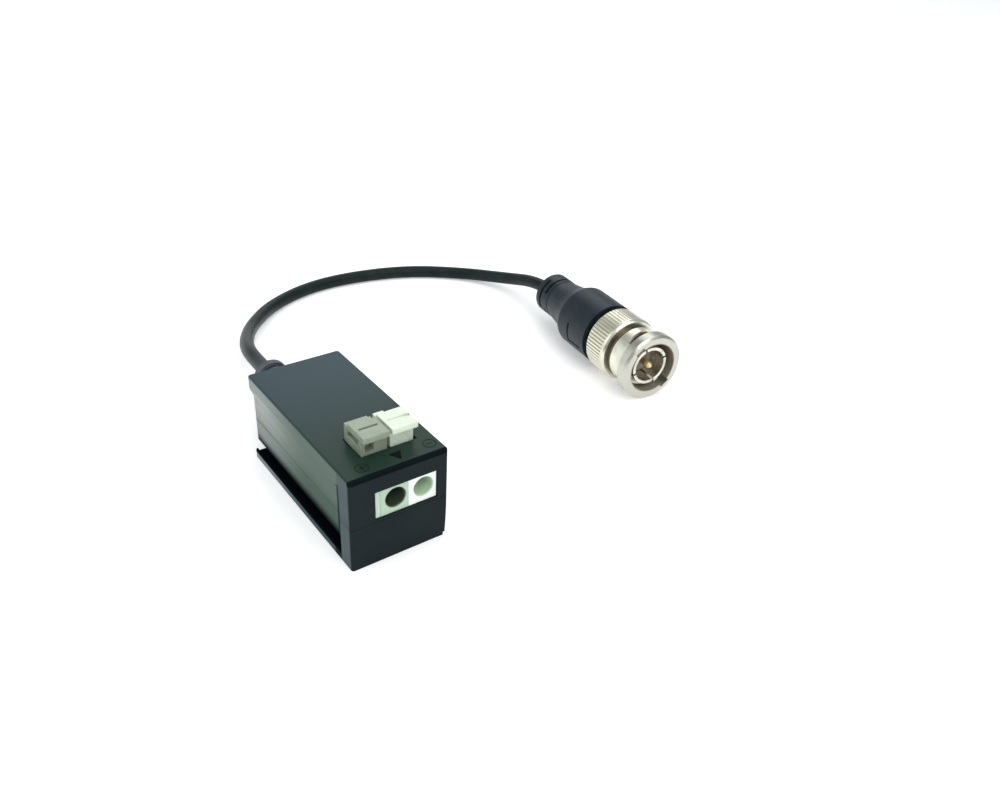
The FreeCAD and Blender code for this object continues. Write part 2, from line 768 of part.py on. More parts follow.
suppressor = new_body("surge_suppressor",
                      ("suppressor_x", "room_rear - suppressor_inset", "board_top"))
pad(suppressor, "XY_Plane", "suppressor_lift", "suppressor_height", draw_box,
    "0 - suppressor_length / 2", "suppressor_length / 2",
    "0 - suppressor_width / 2", "suppressor_width / 2")
for sign in ("0 - ", "0 + "):
    edge = "%s(suppressor_length / 2 + suppressor_lift)" % sign
    low, high = sorted([edge + " - cap_reach", edge + " + cap_reach"], key=value)
    pad(suppressor, "XY_Plane", "0", "cap_height", draw_box, low, high,
        "0 - cap_width / 2", "cap_width / 2")

chips = new_body("chip_capacitors", ("0", "0 - chip_y", "board_top"))
for left in ("0 - chip_left", "chip_right"):
    pad(chips, "XY_Plane", "0", "chip_height", draw_box,
        left, left + " + chip_length", "0 - chip_width / 2", "chip_width / 2")

# Strain relief: a slotted sleeve held in the cover's rear wall

RELIEF_BASE = ("relief_x", "0", "relief_z")
relief = new_body("strain_relief", RELIEF_BASE)
turned(relief, [
    ("relief_front", "cable_bore"), ("relief_front", "relief_diameter / 2"),
    ("room_rear", "relief_diameter / 2"), ("room_rear", "relief_neck / 2"),
    ("rear", "relief_neck / 2"), ("rear", "relief_diameter / 2"),
    ("rear + relief_flange", "relief_diameter / 2"),
    ("rear + relief_flange", "relief_sleeve / 2"),
    ("relief_end - ring_pitch", "relief_sleeve / 2"),
    ("relief_end - ring_pitch", "relief_diameter / 2"),
    ("relief_end", "relief_diameter / 2"), ("relief_end", "cable_bore")])
pad(relief, "XZ_Plane", "room_rear", "rear", draw_box,
    "0 - relief_neck / 2", "relief_neck / 2", "parting_height - relief_z", "0 - cable_bore")
for number, upright in enumerate((True, False, True), start=1):
    slot = "relief_end - ring_slot - %d * ring_step" % number
    cut_ring_slot(relief, slot, "ring_slot", "ring_core", "relief_diameter", "ring_sweep",
                  upright)

tail = new_body("cable_tail", RELIEF_BASE)
turned(tail, [
    ("relief_front - tail_bare", "0"), ("relief_front - tail_bare", "cable_diameter / 2"),
    ("relief_end", "cable_diameter / 2"), ("relief_end", "0")])
turned(tail, [
    ("tail_y", "0"), ("tail_y", "wire_diameter / 2"),
    ("relief_front - tail_bare + joint_overlap", "wire_diameter / 2"),
    ("relief_front - tail_bare + joint_overlap", "0")])
pad(tail, "XY_Plane", "board_top - relief_z", "0", draw_circle,
    "0", "tail_y + wire_diameter", "core_wire")

# Plug: every piece is drawn along its own Y axis, from the nut's front face backwards

PLUG_BASE = ("plug_x", "plug_y", "plug_height")


def plug_body(label):
    """Start a piece that lies on the plug's axis."""
    return new_body(label, PLUG_BASE, "plug_turn")


nut = plug_body("coupling_nut")
turned(nut, [
    ("0", "nut_bore / 2"), ("0", "rim_diameter / 2 - rim_bevel"),
    ("rim_bevel", "rim_diameter / 2"), ("rim_length - rim_bevel", "rim_diameter / 2"),
    ("rim_length", "rim_diameter / 2 - rim_bevel"), ("rim_length", "neck_diameter / 2"),
    ("groove_start", "neck_diameter / 2"), ("groove_start", "nut_groove / 2"),
    ("strip_start", "nut_groove / 2"), ("strip_start", "collar_diameter / 2"),
    ("sleeve_start", "nut_radius"), ("nut_length - rim_bevel", "nut_radius"),
    ("nut_length", "nut_radius - rim_bevel"), ("nut_length", "rear_bore / 2"),
    ("web_start + web_length", "rear_bore / 2"),
    ("web_start + web_length", "hub_radius + running_gap"),
    ("web_start", "hub_radius + running_gap"), ("web_start", "nut_bore / 2")])
channel = pocket(nut, "XZ_Plane", "0 - 1", "lug_lead", draw_box,
                 "0 - lug_slot / 2", "lug_slot / 2", "0", "nut_bore / 2 + lug_channel",
                 tilt="lug_angle")
pattern(nut, [channel], "Y_Axis", "2")
spiral_sketch = new_sketch(nut, "YZ_Plane", tilt="lug_angle")
draw_box(spiral_sketch, "lug_start", "lug_start + lug_slot",
         "nut_bore / 2 - lug_overcut", "neck_diameter / 2 + lug_overcut")
spiral = add_feature(nut, "SubtractiveHelix", spiral_sketch, Mode=0,
                     ReferenceAxis=(spiral_sketch, ["H_Axis"]),
                     Pitch=value("lug_rise * 360 / lug_sweep"), Height=value("lug_rise"))
spiral.setExpression("Pitch", bind("lug_rise * 360 / lug_sweep"))
spiral.setExpression("Height", bind("lug_rise"))
pattern(nut, [spiral], "Y_Axis", "2")
knurl = pocket(nut, "XZ_Plane", "knurl_start", "nut_length + 1", draw_polygon, [
    ("0", "nut_radius - knurl_depth"), ("knurl_width", "nut_radius + knurl_depth / 2"),
    ("0 - knurl_width", "nut_radius + knurl_depth / 2")])
pattern(nut, [knurl], "Y_Axis", "knurl_count")

hub = plug_body("plug_body")
turned(hub, [
    ("flange_start", "contact_bore"), ("flange_start", "flange_diameter / 2"),
    ("flange_start + flange_length", "flange_diameter / 2"),
    ("flange_start + flange_length", "hub_radius"), ("ring_start", "hub_radius"),
    ("ring_start", "hub_radius - ring_seat"), ("ring_back", "hub_radius - ring_seat"),
    ("ring_back", "hub_radius"), ("anchor_front", "hub_radius"),
    ("anchor_front", "anchor_diameter / 2"), ("anchor_back", "anchor_diameter / 2"),
    ("anchor_back", "hub_radius"), ("hub_length", "hub_radius"),
    ("hub_length", "stem_diameter / 2"), ("stem_end", "stem_diameter / 2"),
    ("stem_end", "wire_diameter / 2 + stem_wall"),
    ("insulator_end", "wire_diameter / 2 + stem_wall"), ("insulator_end", "contact_bore")])
pocket(hub, "XZ_Plane", "flange_start - 1", "contact_back", draw_circle,
       "0", "0", "contact_diameter")

ring_contact = plug_body("outer_contact")
turned(ring_contact, [
    ("contact_front", "contact_bore"),
    ("contact_front", "contact_diameter / 2 - contact_bevel"),
    ("contact_front + 2 * contact_bevel", "contact_diameter / 2"),
    ("contact_back", "contact_diameter / 2"), ("contact_back", "contact_bore")])
slit = pocket(ring_contact, "XZ_Plane", "contact_front - 1", "contact_front + slit_length",
              draw_box, "0 - slit_width / 2", "slit_width / 2", "0", "contact_diameter",
              tilt="contact_angle")
pattern(ring_contact, [slit], "Y_Axis", "slit_count")

insulator = plug_body("insulator")
turned(insulator, [
    ("insulator_front", "centre_pin_diameter / 2"),
    ("insulator_front", "contact_bore - cable_gap"),
    ("insulator_end", "contact_bore - cable_gap"),
    ("insulator_end", "centre_pin_diameter / 2")])

pin = plug_body("centre_pin")
turned(pin, [
    ("centre_pin_front", "0"), ("centre_pin_front", "centre_pin_diameter / 4"),
    ("centre_pin_front + centre_pin_bevel", "centre_pin_diameter / 2"),
    ("insulator_end", "centre_pin_diameter / 2"), ("insulator_end", "0")])

seal = plug_body("gasket")
turned(seal, [
    ("flange_start - gasket_thickness", "contact_diameter / 2"),
    ("flange_start - gasket_thickness", "flange_diameter / 2"),
    ("flange_start", "flange_diameter / 2"), ("flange_start", "contact_diameter / 2")])


def make_washer(label, start, thickness, inner, outer):
    """Make one flat ring on the plug's hub."""
    body = plug_body(label)
    turned(body, [
        (start, inner), (start, outer), (start + " + " + thickness, outer),
        (start + " + " + thickness, inner)])
    return body


make_washer("spring_washer", "flange_start + flange_length", "washer_thickness",
            "hub_radius + cable_gap", "flange_diameter / 2")
make_washer("thrust_washer", "web_start - washer_thickness", "washer_thickness",
            "hub_radius + running_gap", "flange_diameter / 2")
clip = make_washer("retaining_ring", "ring_start", "ring_thickness",
                   "hub_radius - ring_seat + cable_gap", "ring_diameter / 2")
pocket(clip, "XZ_Plane", "ring_start - 1", "ring_start + ring_thickness + 1", draw_box,
       "0 - ring_mouth / 2", "ring_mouth / 2", "0 - ring_diameter", "0")
make_washer("crimp_ferrule", "ferrule_start", "ferrule_length",
            "stem_diameter / 2 + cable_gap", "ferrule_diameter / 2")

boot = plug_body("plug_boot")
turned(boot, [
    ("boot_front", "hub_radius + cable_gap"), ("boot_front", "boot_diameter / 2"),
    ("shoulder_start", "boot_diameter / 2"), ("shoulder_end", "taper_diameter / 2"),
    ("taper_end", "collar_root / 2"), ("taper_end", "boot_collar / 2"),
    ("boot_end - boot_edge", "boot_collar / 2"), ("boot_end", "boot_collar / 2 - boot_edge"),
    ("boot_end", "cable_bore"), ("stem_end + cable_gap", "cable_bore"),
    ("stem_end + cable_gap", "crimp_bore"), ("hub_length", "crimp_bore"),
    ("hub_length", "hub_radius + cable_gap"), ("anchor_back", "hub_radius + cable_gap"),
    ("anchor_back", "anchor_diameter / 2 + cable_gap"),
    ("anchor_front", "anchor_diameter / 2 + cable_gap"),
    ("anchor_front", "hub_radius + cable_gap")])
shoulder = on_ring(value("shoulder_start"), value("boot_diameter / 2"))
round_edges(boot, shoulder, "boot_round")
for ring, upright in enumerate((True, False)):
    start = "boot_slot_start + %d * boot_slot_pitch" % ring
    cut_ring_slot(boot, start, "boot_slot", "boot_slot_core", "boot_collar", "boot_sweep",
                  upright)

plug_tail = plug_body("plug_cable_end")
turned(plug_tail, [
    ("stem_end + cable_gap", "0"), ("stem_end + cable_gap", "cable_diameter / 2"),
    ("boot_end", "cable_diameter / 2"), ("boot_end", "0")])


# Lead: straight runs joined by tangent arcs, swept with a round section


def lead_points():
    """List the control points of the lead from the strain relief to the boot."""
    turn = math.radians(value("0 - plug_turn"))
    along = FreeCAD.Vector(math.sin(turn), math.cos(turn), 0)
    front = FreeCAD.Vector(value("plug_x"), value("plug_y"), value("plug_height"))
    end = front + along * value("boot_end")
    start = FreeCAD.Vector(value("relief_x"), value("relief_end"), value("relief_z"))
    bends = [FreeCAD.Vector(*point) for point in LEAD_BENDS]
    return [start] + bends + [end + along * LAST_RUN, end]


def lead_path(points):
    """Join straight runs by tangent arcs that are as large as the runs allow."""
    edges = []
    reached = points[0]
    for before, corner, after in zip(points, points[1:], points[2:]):
        arriving = (corner - before).normalize()
        leaving = (after - corner).normalize()
        shorter = min((corner - before).Length, (after - corner).Length)
        half_turn = arriving.getAngle(leaving) / 2
        setback = BEND_SHARE * shorter
        radius = setback / math.tan(half_turn)
        start = corner - arriving * setback
        end = corner + leaving * setback
        inward = (leaving - arriving).normalize()
        middle = corner + inward * (radius / math.cos(half_turn) - radius)
        edges.append(Part.LineSegment(reached, start).toShape())
        edges.append(Part.Arc(start, middle, end).toShape())
        reached = end
        print("lead radius %.1f mm over a turn of %.1f degrees"
              % (radius, math.degrees(2 * half_turn)))
    edges.append(Part.LineSegment(reached, points[-1]).toShape())
    return Part.Wire(edges)


route = lead_points()
path = lead_path(route)
lead_radius = value("cable_diameter") / 2
section = Part.Circle(route[0], (route[1] - route[0]).normalize(), lead_radius)
tube = path.makePipeShell([Part.Wire([section.toShape()])], True, True)
expected = math.pi * lead_radius ** 2 * path.Length
print("lead length %.1f mm, volume %.2f of %.2f" % (path.Length, tube.Volume, expected))
if abs(tube.Volume / expected - 1) > 0.01:
    raise RuntimeError("The lead's volume doesn't match its section and length")
lead = document.addObject("Part::Feature", "pigtail_cable")
lead.Label = "pigtail_cable"
lead.Shape = tube
pieces.append(lead)

# Every object is checked before anything is written

document.recompute()
for item in document.Objects:
    if {"Invalid", "Error"} & set(item.State):
        raise RuntimeError("%s could not be worked out" % item.Label)
for piece in pieces:
    if piece.Shape.isNull() or not piece.Shape.isValid():
        raise RuntimeError("%s has no valid shape" % piece.Label)

os.makedirs("parts", exist_ok=True)
for piece in pieces:
    piece.Shape.exportStep(os.path.join("parts", piece.Label + ".step"))
    print("%s: %d solids, %.1f mm3" % (piece.Label, len(piece.Shape.Solids), piece.Shape.Volume))
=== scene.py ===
"""Looks of a passive video balun: housing, push-in terminal, coaxial lead and bayonet plug.

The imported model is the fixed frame. Every visible piece is a finished copy of its solid, with
rounded edges and a procedural material, and the lead is a smooth curve along its route.
"""

from __future__ import annotations

import json
import logging
import math
from dataclasses import dataclass, field
from enum import Enum
from typing import Any, Iterable, Sequence

import bmesh
import bpy
from mathutils import Matrix, Vector

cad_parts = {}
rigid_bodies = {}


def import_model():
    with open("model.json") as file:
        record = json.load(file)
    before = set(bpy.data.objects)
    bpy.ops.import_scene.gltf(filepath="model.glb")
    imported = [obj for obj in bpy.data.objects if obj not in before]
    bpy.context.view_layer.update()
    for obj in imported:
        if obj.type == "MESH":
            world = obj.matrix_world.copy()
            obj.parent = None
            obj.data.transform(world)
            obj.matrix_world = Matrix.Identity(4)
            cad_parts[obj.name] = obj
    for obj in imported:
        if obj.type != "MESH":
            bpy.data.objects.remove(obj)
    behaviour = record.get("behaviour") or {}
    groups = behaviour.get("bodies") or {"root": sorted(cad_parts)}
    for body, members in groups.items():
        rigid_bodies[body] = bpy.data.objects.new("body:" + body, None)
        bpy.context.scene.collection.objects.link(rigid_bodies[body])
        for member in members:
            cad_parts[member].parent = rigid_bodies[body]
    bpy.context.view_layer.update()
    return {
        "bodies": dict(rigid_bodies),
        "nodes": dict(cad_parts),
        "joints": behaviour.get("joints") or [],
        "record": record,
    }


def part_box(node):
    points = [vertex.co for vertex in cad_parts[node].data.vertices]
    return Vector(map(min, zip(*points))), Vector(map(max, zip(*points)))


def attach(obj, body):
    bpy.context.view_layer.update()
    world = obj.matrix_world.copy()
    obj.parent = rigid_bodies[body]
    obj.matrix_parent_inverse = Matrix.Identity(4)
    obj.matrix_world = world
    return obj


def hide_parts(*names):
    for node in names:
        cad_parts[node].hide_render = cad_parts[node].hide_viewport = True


LOG = logging.getLogger("balun")
MM = 0.001
Colour = tuple[float, float, float]
Triple = tuple[float, float, float]
Span = tuple[float, float]
Spot = tuple[float, float]
Number = float | int

# The plug's axis is turned this far about the vertical, and its front's centre is here.
PLUG_TURN = math.radians(7.0)
PLUG_FRONT_MM = (69.64, -4.99, 7.4)


class Term:
    """One output socket of a material, with arithmetic that adds Math nodes."""

    def __init__(self, bench: "Bench", socket: bpy.types.NodeSocket) -> None:
        """Wrap a socket.

        Args:
            bench: The bench whose tree holds the socket.
            socket: The output socket.
        """
        self.bench = bench
        self.socket = socket

    def __add__(self, other: "Term | Number") -> "Term":
        """Add."""
        return self.bench.math("ADD", self, other)

    def __radd__(self, other: Number) -> "Term":
        """Add from the left."""
        return self.bench.math("ADD", other, self)

    def __sub__(self, other: "Term | Number") -> "Term":
        """Subtract."""
        return self.bench.math("SUBTRACT", self, other)

    def __rsub__(self, other: Number) -> "Term":
        """Subtract from a number."""
        return self.bench.math("SUBTRACT", other, self)

    def __mul__(self, other: "Term | Number") -> "Term":
        """Multiply."""
        return self.bench.math("MULTIPLY", self, other)

    def __pow__(self, other: Number) -> "Term":
        """Raise to a power."""
        return self.bench.math("POWER", self, other)

    def step(self, low: Number, high: Number) -> "Term":
        """Blend smoothly from 0 at low to 1 at high.

        Args:
            low: Value that gives 0.
            high: Value that gives 1.

        Returns:
            The blended term.
        """
        node = self.bench.node(
            "ShaderNodeMapRange",
            {"interpolation_type": "SMOOTHSTEP"},
            {"Value": self, "From Min": low, "From Max": high},
        )
        return Term(self.bench, node.outputs["Result"])


class Bench:
    """A material under construction."""

    def __init__(self, name: str) -> None:
        """Start an empty material.

        Args:
            name: The material's name.
        """
        self.material = bpy.data.materials.new(name)
        self.material.use_nodes = True
        self.tree = self.material.node_tree
        self.tree.nodes.clear()
        self.place = self.out("ShaderNodeTexCoord", "Object")

    def node(
        self,
        kind: str,
        settings: dict[str, Any] | None = None,
        inputs: dict[str | int, Any] | None = None,
    ) -> bpy.types.Node:
        """Add a node, set it up and feed its sockets.

        Args:
            kind: The node's type.
            settings: Attributes of the node.
            inputs: Values or terms by socket name or number.

        Returns:
            The node.
        """
        node = self.tree.nodes.new(kind)
        for name, setting in (settings or {}).items():
            setattr(node, name, setting)
        for name, value in (inputs or {}).items():
            socket = node.inputs[name]
            if isinstance(value, Term):
                self.tree.links.new(value.socket, socket)
            elif isinstance(value, tuple) and len(value) == 3 and socket.type == "RGBA":
                socket.default_value = (*value, 1.0)
            else:
                socket.default_value = value
        return node

    def out(
        self,
        kind: str,
        output: str | int,
        settings: dict[str, Any] | None = None,
        inputs: dict[str | int, Any] | None = None,
    ) -> Term:
        """Add a node and wrap one of its outputs.

        Args:
            kind: The node's type.
            output: The output's name or number.
            settings: Attributes of the node.
            inputs: Values or terms by socket name or number.

        Returns:
            The output as a term.
        """
        return Term(self, self.node(kind, settings, inputs).outputs[output])

    def math(self, operation: str, first: Term | Number, second: Term | Number) -> Term:
        """Work out one Math operation.

        Args:
            operation: The Math node's operation.
            first: First value.
            second: Second value.

        Returns:
            The result.
        """
        inputs = {0: first, 1: second}
        return self.out("ShaderNodeMath", 0, {"operation": operation}, inputs)

    def largest(self, first: Term, *others: Term) -> Term:
        """Take the largest of some values.

        Args:
            first: First value.
            others: The other values.

        Returns:
            The largest.
        """
        for other in others:
            first = self.math("MAXIMUM", first, other)
        return first

    def mix(self, factor: Term | Number, first: Any, second: Any) -> Term:
        """Mix two colours.

        Args:
            factor: 0 gives the first and 1 the second.
            first: Colour or term.
            second: Colour or term.

        Returns:
            The mixed colour.
        """
        node = self.node("ShaderNodeMix", {"data_type": "RGBA"}, {0: factor, 6: first, 7: second})
        return Term(self, node.outputs[2])

    def along(self, axis: str, where: Term | None = None) -> Term:
        """Read one axis of coordinates in millimetres.

        Args:
            axis: X, Y or Z.
            where: Coordinates, the object's own by default.

        Returns:
            The place along the axis.
        """
        return self.out("ShaderNodeSeparateXYZ", axis, {}, {0: where or self.place}) * (1.0 / MM)

    def noise(self, size_mm: Number, detail: Number, where: Term | None = None) -> Term:
        """Add noise of a real size.

        Args:
            size_mm: Size of the largest blotches.
            detail: Octaves of finer noise.
            where: Coordinates, the object's own by default.

        Returns:
            Noise from 0 to 1.
        """
        inputs = {"Vector": where or self.place, "Scale": 1.0 / (size_mm * MM), "Detail": detail}
        return self.out("ShaderNodeTexNoise", 0, {}, inputs)

    def stretched(self, scale: Sequence[float], turn: Sequence[float] = (0, 0, 0)) -> Term:
        """Stretch the object's coordinates.

        Args:
            scale: Factor along each axis.
            turn: Turn about each axis in radians.

        Returns:
            The stretched coordinates.
        """
        inputs = {"Vector": self.place, "Scale": tuple(scale), "Rotation": tuple(turn)}
        return self.out("ShaderNodeMapping", 0, {"vector_type": "POINT"}, inputs)

    def bump(self, height: Term, depth_mm: Number, strength: Number) -> Term:
        """Turn a height into a normal.

        Args:
            height: Height from 0 to 1.
            depth_mm: Real depth of a height of 1.
            strength: Share of the effect that shows.

        Returns:
            The normal.
        """
        inputs = {"Height": height, "Distance": depth_mm * MM, "Strength": strength}
        return self.out("ShaderNodeBump", 0, {}, inputs)

    def surface(self, inputs: dict[str, Any]) -> bpy.types.Material:
        """Finish the material with a Principled shader.

        Args:
            inputs: Values or terms by socket name.

        Returns:
            The material.
        """
        shader = self.node("ShaderNodeBsdfPrincipled", {}, inputs)
        output = self.node("ShaderNodeOutputMaterial")
        self.tree.links.new(shader.outputs[0], output.inputs[0])
        return self.material


@dataclass(frozen=True)
class MouldedFinish:
    """Moulded plastic with a spark-eroded grain and faint flow marks."""

    name: str
    colour: Colour
    shade: Colour
    roughness: float = 0.42
    grain_mm: float = 0.16
    grain_depth_mm: float = 0.012
    blotch_mm: float = 6.0
    flow_mm: float = 3.0
    flow_stretch: Triple = (1.0, 0.25, 1.0)
    tone_span: Span = (0.3, 0.7)
    glow: float = 0.0
    glow_reach_m: Triple = (0.0012, 0.0012, 0.0010)
    gloss: float = 0.5
    # The inner colour is painted shade inside the part, behind its front face, in the wire
    # entries.
    inner: Colour | None = None
    inner_shade_mm: Span = (-18.745, -18.6)

    def build(self) -> bpy.types.Material:
        """Make the material, with painted shade in the inner colour behind the front face where
        there is one.

        Returns:
            The material.
        """
        bench = Bench(self.name)
        grain = bench.noise(self.grain_mm, 3.0)
        blotch = bench.noise(self.blotch_mm, 4.0)
        flow = bench.noise(self.flow_mm, 2.0, bench.stretched(self.flow_stretch))
        tone = (blotch * 0.6 + flow * 0.25 + grain * 0.15).step(*self.tone_span)
        colour = bench.mix(tone, self.shade, self.colour)
        # Painted shade inside the part behind the front face.
        if self.inner:
            colour = bench.mix(bench.along("Y").step(*self.inner_shade_mm), colour, self.inner)
        inputs = {
            "Base Color": colour,
            "Roughness": self.roughness - 0.06 + blotch * 0.08 + grain * 0.06,
            "Normal": bench.bump(grain, self.grain_depth_mm, 0.6),
            "IOR": 1.5,
            "Specular IOR Level": self.gloss,
        }
        if self.glow:
            inputs["Subsurface Weight"] = self.glow
            inputs["Subsurface Radius"] = self.glow_reach_m
            inputs["Subsurface Scale"] = 1.0
        return bench.surface(inputs)


@dataclass(frozen=True)
class ShellFinish:
    """Black shell in lit and shaded copies of one black, with painted sheen on the left wall and
    the top's rear.

    Spans in millimetres say where its zones, its parting line and its painted shades blend in. A
    coat is the share of the clear coat's reflection that a zone shows:
    faint on the front, satin on the top, and a polish on the left wall that dulls forwards.
    """

    name: str
    # The colours from front to column are lit and shaded copies of one black: the top's rear, the
    # wall and the column are painted lighter as sheen.
    front: Colour
    front_shade: Colour
    top: Colour
    top_rear_sheen: Colour
    wall: Colour
    column: Colour
    # Colour of the parting line and of the painted shade in the groove, the rail's slot and on
    # the top's front edge.
    seam_and_shade: Colour
    roughness: float = 0.5
    coat_roughness: float = 0.34
    coat_ior: float = 1.75
    grain_mm: float = 0.16
    grain_depth_mm: float = 0.012
    blotch_mm: float = 7.0
    streak_mm: float = 1.2
    streak_stretch: Triple = (1.0, 0.12, 1.0)
    tone_span: Span = (0.3, 0.7)
    top_mm: Span = (17.15, 17.45)
    top_length_mm: Span = (-19.0, 19.0)
    wall_side_mm: Span = (-8.0, -8.15)
    wall_front_mm: Span = (-18.75, -18.3)
    column_mm: Span = (-14.6, -15.4)
    column_foot_mm: Span = (8.25, 8.1)
    lip_rise_mm: Span = (1.5, 1.2)
    rear_mm: Span = (-4.0, 16.0)
    rear_top_mm: Span = (14.0, 15.5)
    rise_mm: Span = (6.5, 11.5)
    top_coat: float = 0.25
    plain_coat: float = 0.1
    wall_coat: float = 0.08
    rear_coat: float = 0.8
    rear_top_loss: float = 0.25
    rise_coat: float = 0.24
    column_loss: float = 0.09
    column_foot_coat: float = 0.15
    parting_mm: float = 8.2
    seam_mm2: Span = (0.014, 0.002)
    seam_rear_mm: Span = (4.0, 14.0)
    # The groove's span runs on past the groove to paint its shade on the wall; the slot's spans
    # paint the shadow in the rail's slot, and the last three the blackish reflection on the top's
    # front edge.
    groove_mm: Span = (-15.4, -13.25)
    groove_edge_mm: float = 0.1
    groove_top_mm: Span = (14.6, 13.6)
    groove_side_mm: Span = (-7.3, -7.5)
    groove_shade_depth: float = 0.75
    slot_top_mm: Span = (6.0, 3.4)
    slot_side_mm: Span = (-6.1, -6.3)
    lip_side_mm: Span = (-8.55, -8.4)
    lip_top_mm: Span = (1.1, 1.3)
    brow_front_mm: Span = (-18.2, -18.5)
    brow_top_mm: Span = (16.7, 17.0)
    brow_shade_depth: float = 0.9

    def seam_and_shade_mask(self, bench: Bench, across: Term, depth: Term, height: Term) -> Term:
        """Mark the parting line, and paint shade in and beside the groove, shadow in the rail's
        slot and a blackish reflection along the top's front edge.

        Args:
            bench: The bench.
            across: Place along X in millimetres.
            depth: Place along Y.
            height: Place along Z.

        Returns:
            1 on the parting line and in the painted shade, and 0 elsewhere.
        """
        offset = height - self.parting_mm
        seam = (offset * offset).step(*self.seam_mm2)
        seam = seam * (0.35 + depth.step(*self.seam_rear_mm) * 0.5)
        # Painted shade in and beside the groove, painted shadow in the rail's slot, and a painted
        # blackish reflection on the top's front edge.
        start, end = self.groove_mm
        behind = depth.step(start - self.groove_edge_mm, start)
        groove = behind * depth.step(end + self.groove_edge_mm, end)
        groove = groove * height.step(*self.groove_top_mm)
        groove = groove * across.step(*self.groove_side_mm) * self.groove_shade_depth
        lip = bench.largest(across.step(*self.lip_side_mm), height.step(*self.lip_top_mm))
        slot = height.step(*self.slot_top_mm) * behind * lip * across.step(*self.slot_side_mm)
        brow_shade = depth.step(*self.brow_front_mm) * height.step(*self.brow_top_mm)
        return bench.largest(seam, groove, slot, brow_shade * self.brow_shade_depth)

    def polish(self, depth: Term, height: Term, streaks: Term) -> Term:
        """Work out the coat of the left wall.

        Args:
            depth: Place along Y in millimetres.
            height: Place along Z.
            streaks: Noise drawn out along the wall.

        Returns:
            The wall's coat.
        """
        column = depth.step(*self.column_mm)
        rear = self.rear_coat - height.step(*self.rear_top_mm) * self.rear_top_loss
        rise = height.step(*self.rise_mm) * (self.rise_coat - column * self.column_loss)
        foot = column * height.step(*self.column_foot_mm) * self.column_foot_coat
        coat = self.wall_coat + rise + depth.step(*self.rear_mm) * rear + foot
        return coat * (0.75 + streaks * 0.5)

    def build(self) -> bpy.types.Material:
        """Make the material.

        Returns:
            The material.
        """
        bench = Bench(self.name)
        across, depth, height = (bench.along(axis) for axis in "XYZ")
        grain = bench.noise(self.grain_mm, 3.0)
        blotch = bench.noise(self.blotch_mm, 4.0)
        streaks = bench.noise(self.streak_mm, 3.0, bench.stretched(self.streak_stretch))
        tone = (blotch * 0.7 + grain * 0.3).step(*self.tone_span)
        top = height.step(*self.top_mm)
        wall = across.step(*self.wall_side_mm) * depth.step(*self.wall_front_mm) * (1.0 - top)
        seam_and_shade = self.seam_and_shade_mask(bench, across, depth, height)
        coat = wall * self.polish(depth, height, streaks) + top * self.top_coat
        coat = coat + (1.0 - top) * (1.0 - wall) * self.plain_coat
        # Painted light: the front, the top and the left wall get lit and shaded copies of one
        # black, with painted sheen towards the top's rear and on the wall and column.
        cool = bench.largest(depth.step(*self.column_mm), height.step(*self.lip_rise_mm))
        front = bench.mix(tone, self.front_shade, self.front)
        above = bench.mix(depth.step(*self.top_length_mm), self.top, self.top_rear_sheen)
        side = bench.mix(cool, self.wall, self.column)
        body = bench.mix(wall, bench.mix(top, front, above), side)
        # The parting line and the painted shade take their own colour and lose the coat.
        return bench.surface(
            {
                "Base Color": bench.mix(seam_and_shade, body, self.seam_and_shade),
                "Roughness": self.roughness + blotch * 0.08,
                "Specular IOR Level": 0.0,
                "Coat Weight": coat * (1.0 - seam_and_shade),
                "Coat Roughness": self.coat_roughness,
                "Coat IOR": self.coat_ior,
                "Normal": bench.bump(grain, self.grain_depth_mm, 0.6),
            }
        )


@dataclass(frozen=True)
class PlatedFinish:
    """Plated metal with fine turning marks round the plug's axis and dull patches."""

    name: str
    colour: Colour
    shade: Colour
    roughness: float = 0.2
    mark_mm: float = 0.09
    mark_stretch: Triple = (0.06, 1.0, 0.06)
    mark_depth_mm: float = 0.004
    patch_mm: float = 2.6
    speck_mm: float = 0.25
    dull_span: Span = (0.42, 0.68)
    turn: float = 0.0
    metallic: float = 1.0

    def tint(self, bench: Bench, dull: Term) -> tuple[Term, Term | Number]:
        """Mix the plating's colour.

        Args:
            bench: The bench.
            dull: 1 on the dull patches.

        Returns:
            The colour, and how far it is metal.
        """
        return bench.mix(dull, self.colour, self.shade), self.metallic

    def build(self) -> bpy.types.Material:
        """Make the material.

        Returns:
            The material.
        """
        bench = Bench(self.name)
        around = bench.stretched(self.mark_stretch, (0.0, 0.0, self.turn))
        marks = bench.noise(self.mark_mm, 2.0, around)
        patches = bench.noise(self.patch_mm, 4.0)
        specks = bench.noise(self.speck_mm, 3.0)
        dull = (patches * 0.7 + specks * 0.3).step(*self.dull_span)
        colour, metallic = self.tint(bench, dull)
        return bench.surface(
            {
                "Base Color": colour,
                "Metallic": metallic,
                "Roughness": self.roughness + dull * 0.12 + marks * 0.05,
                "Normal": bench.bump(marks, self.mark_depth_mm, 0.5),
            }
        )


@dataclass(frozen=True)
class TurnedFinish(PlatedFinish):
    """Plating that changes along the plug or with the distance from its axis."""

    front_mm: Triple = (0.0, 0.0, 0.0)

    def axes(self, bench: Bench) -> tuple[Term, Term]:
        """Measure along the plug and out from its axis.

        Args:
            bench: The bench.

        Returns:
            Distance behind the plug's front and from its axis, in millimetres.
        """
        inputs = {
            "Vector": bench.place,
            "Location": tuple(value * MM for value in self.front_mm),
            "Rotation": (0.0, 0.0, -self.turn),
        }
        place = bench.out("ShaderNodeMapping", 0, {"vector_type": "TEXTURE"}, inputs)
        side, reach, height = (bench.along(axis, place) for axis in "XYZ")
        return reach, (side * side + height * height) ** 0.5


